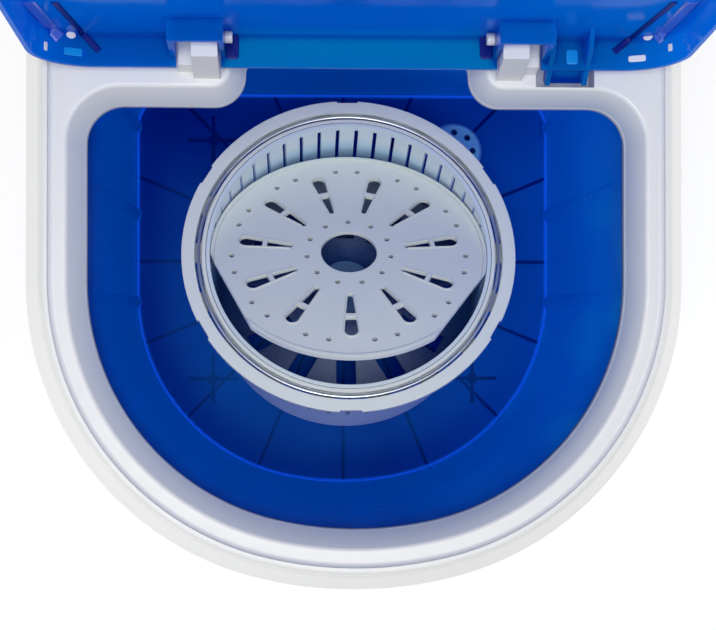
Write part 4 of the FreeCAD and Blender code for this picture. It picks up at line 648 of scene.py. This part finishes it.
def knob_pointer(name, x):
    """A painted groove at the top end of a knob's grip."""
    outline = (
        (POINTER_START, POINTER_HALF), (POINTER_TIP - POINTER_POINT, POINTER_HALF),
        (POINTER_TIP, POINTER_HALF * POINTER_TAPER),
    )
    profile = ((-1, MARK_SINK), (-MARK_TOP, -MARK_RISE), (MARK_TOP, -MARK_RISE), (1, MARK_SINK))
    rows = []
    for z, width in outline:
        rows.append([Vector((x + side * width, KNOB_FRONT + y, KNOB_Z + z)) for side, y in profile])
    solid(f"{name}_pointer", [rows], name, marking)


dial_marks("timer", KNOB_X, ("0", "3", "6", "9", "12", "15"), TIMER_SPAN, TIMER_TICKS)
dial_marks("selector", -KNOB_X, ("1", "2", "3"), SELECTOR_SPAN, SELECTOR_TICKS)
knob_pointer("timer", KNOB_X)
knob_pointer("selector", -KNOB_X)


def camera_axes():
    """The camera's right, up and forward directions."""
    forward = CAMERA_AIM.normalized()
    right = forward.cross(Vector((0, 1, 0))).normalized()
    return right, right.cross(forward), forward


def lid_spots(pixels):
    """The points of the lid that the photograph's pixels show, with their normals."""
    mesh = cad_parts["lid_shell"].data
    tree = BVHTree.FromPolygons([v.co for v in mesh.vertices], [tuple(p.vertices) for p in mesh.polygons])
    right, up, forward = camera_axes()
    spots = []
    for column, row in pixels:
        aim = forward * FOCAL_PIXELS + right * (column - PHOTO_WIDTH / 2) + up * (PHOTO_HEIGHT / 2 - row)
        spots.append(tree.ray_cast(CAMERA_PLACE, aim.normalized())[:2])
    return spots


def plate(name, spot, normal, width, length, material, corner):
    """A low moulded plate with rounded corners on the lid; a corner of 2 is an oval."""
    across = (Vector((1, 0, 0)) - normal * normal.x).normalized()
    along = normal.cross(across)
    rows = []
    for rise, share in PLATE_PROFILE:
        row = []
        for k in range(PLATE_SIDES):
            turn = 2 * math.pi * k / PLATE_SIDES
            u, v = (math.copysign(abs(c) ** (2 / corner), c) for c in (math.cos(turn), math.sin(turn)))
            point = spot + across * (u * width * share / 2) + along * (v * length * share / 2)
            row.append(point + normal * rise)
        rows.append(row)
    solid(name, [rows], "lid", material)


def lid_rib(name, start, end, width, material):
    """A low moulded rib along the lid's inside, between two pixels of the photograph."""
    shares = [k / RIB_STEPS for k in range(RIB_STEPS + 1)]
    spots = lid_spots([tuple(a + (b - a) * share for a, b in zip(start, end)) for share in shares])
    rows = []
    for k, (spot, normal) in enumerate(spots):
        ahead = spots[min(k + 1, RIB_STEPS)][0] - spots[max(k - 1, 0)][0]
        side = normal.cross(ahead).normalized() * width / 2
        low = spot - normal * RIB_SINK
        high = spot + normal * RIB_RISE
        rows.append((low - side, high - side * RIB_TOP, high + side * RIB_TOP, low + side))
    solid(name, [rows], "lid", material)


def lid_details():
    """Corner ribs, two of them with a painted glare, buffers, hinge recesses and the clear spot between
    the stop fins.
    """
    lid_rib("lid_fold_left", *FOLD_LEFT, FOLD_WIDTH, deep_blue)
    lid_rib("lid_fold_right", *FOLD_RIGHT, FOLD_WIDTH, deep_blue)
    # Raised bands whose lilac colour is a painted glare
    lid_rib("lid_glare_band_left", *GLARE_BAND_LEFT, GLARE_BAND_WIDTH, glare_band_blue)
    lid_rib("lid_glare_band_right", *GLARE_BAND_RIGHT, GLARE_BAND_WIDTH, glare_band_blue)
    # Each plate's name, pixel, width and length in mm, finish, and how square its corners are
    plates = (
        ("lid_recess_left", RECESS_LEFT, 6.6, 13.0, deep_blue, 6.0),
        ("lid_recess_right", RECESS_RIGHT, 6.6, 13.0, deep_blue, 6.0),
        ("lid_buffer_left", BUFFER_LEFT, 5.0, 3.6, buffer_white, 2.0),
        ("lid_buffer_right", BUFFER_RIGHT, 5.0, 3.6, buffer_white, 2.0),
        ("lid_stud_left", STUD_LEFT, 2.4, 4.6, buffer_white, 5.0),
        ("lid_stud_right", STUD_RIGHT, 2.8, 4.0, buffer_white, 5.0),
        ("lid_pad_left", PAD_LEFT, 13.0, 4.2, pale_blue, 6.0),
        ("lid_pad_right", PAD_RIGHT, 10.0, 3.4, buffer_white, 6.0),
        ("lid_spot", CLEAR_SPOT, 6.2, 8.0, pale_blue, 5.0),
    )
    spots = lid_spots([pixel for _, pixel, *_ in plates])
    for (name, _, width, length, material, corner), (spot, normal) in zip(plates, spots):
        plate(name, spot, normal, width * MM, length * MM, material, corner)


lid_details()


def seen_directly(tree):
    """1 for camera, mirror and clear rays."""
    path = tree.nodes.new("ShaderNodeLightPath")
    seen = math_node(tree, "MAXIMUM", path.outputs["Is Camera Ray"], path.outputs["Is Glossy Ray"])
    return math_node(tree, "MAXIMUM", seen, path.outputs["Is Transmission Ray"])


def make_floor():
    """A pale floor that is white further off for camera, mirror and clear rays."""
    mesh = bpy.data.meshes.new("floor")
    low, high = -FLOOR_REACH, FLOOR_REACH
    mesh.from_pydata([(low, low, 0), (high, low, 0), (high, high, 0), (low, high, 0)], [], [(0, 1, 2, 3)])
    floor = bpy.data.objects.new("floor", mesh)
    bpy.context.scene.collection.objects.link(floor)
    material, tree, shader = node_material("floor_white")
    length = tree.nodes.new("ShaderNodeVectorMath")
    length.operation = "LENGTH"
    coords = tree.nodes.new("ShaderNodeTexCoord")
    tree.links.new(coords.outputs["Object"], length.inputs[0])
    glow = ranged(tree, length.outputs["Value"], *FLOOR_GLOW, *FLOOR_GLOW_PLACE)
    give(
        tree, shader, Base_Color=FLOOR_COLOUR, Roughness=FLOOR_ROUGHNESS,
        Emission_Color=WHITE, Emission_Strength=times(tree, glow, seen_directly(tree)))
    floor.data.materials.append(material)


def make_world():
    """A world that camera, mirror and clear rays see as white."""
    world = bpy.data.worlds.new("studio")
    bpy.context.scene.world = world
    world.use_nodes = True
    tree = world.node_tree
    light = ranged(tree, seen_directly(tree), WORLD_LIGHT, 1.0)
    give(tree, tree.nodes["Background"], Color=WHITE, Strength=light)


def lamp(name, spot, aim, size, power):
    """A square lamp that looks from its spot at its aim."""
    data = bpy.data.lights.new(name, "AREA")
    data.size = size
    data.energy = power
    obj = bpy.data.objects.new(name, data)
    obj.location = spot
    obj.rotation_mode = "QUATERNION"
    obj.rotation_quaternion = (Vector(aim) - Vector(spot)).to_track_quat("-Z", "Y")
    bpy.context.scene.collection.objects.link(obj)


def make_camera():
    """The photograph's camera."""
    data = bpy.data.cameras.new("camera")
    data.sensor_fit = "HORIZONTAL"
    data.sensor_width = SENSOR_WIDTH
    data.lens = FOCAL_PIXELS * SENSOR_WIDTH / PHOTO_WIDTH
    camera = bpy.data.objects.new("camera", data)
    right, up, forward = camera_axes()
    turn = Matrix((right, up, -forward)).transposed()
    camera.matrix_world = Matrix.Translation(CAMERA_PLACE) @ turn.to_4x4()
    bpy.context.scene.collection.objects.link(camera)
    bpy.context.scene.camera = camera


make_floor()
make_world()
for settings in LAMPS:
    lamp(*settings)
make_camera()
bpy.context.scene.view_settings.view_transform = "Standard"
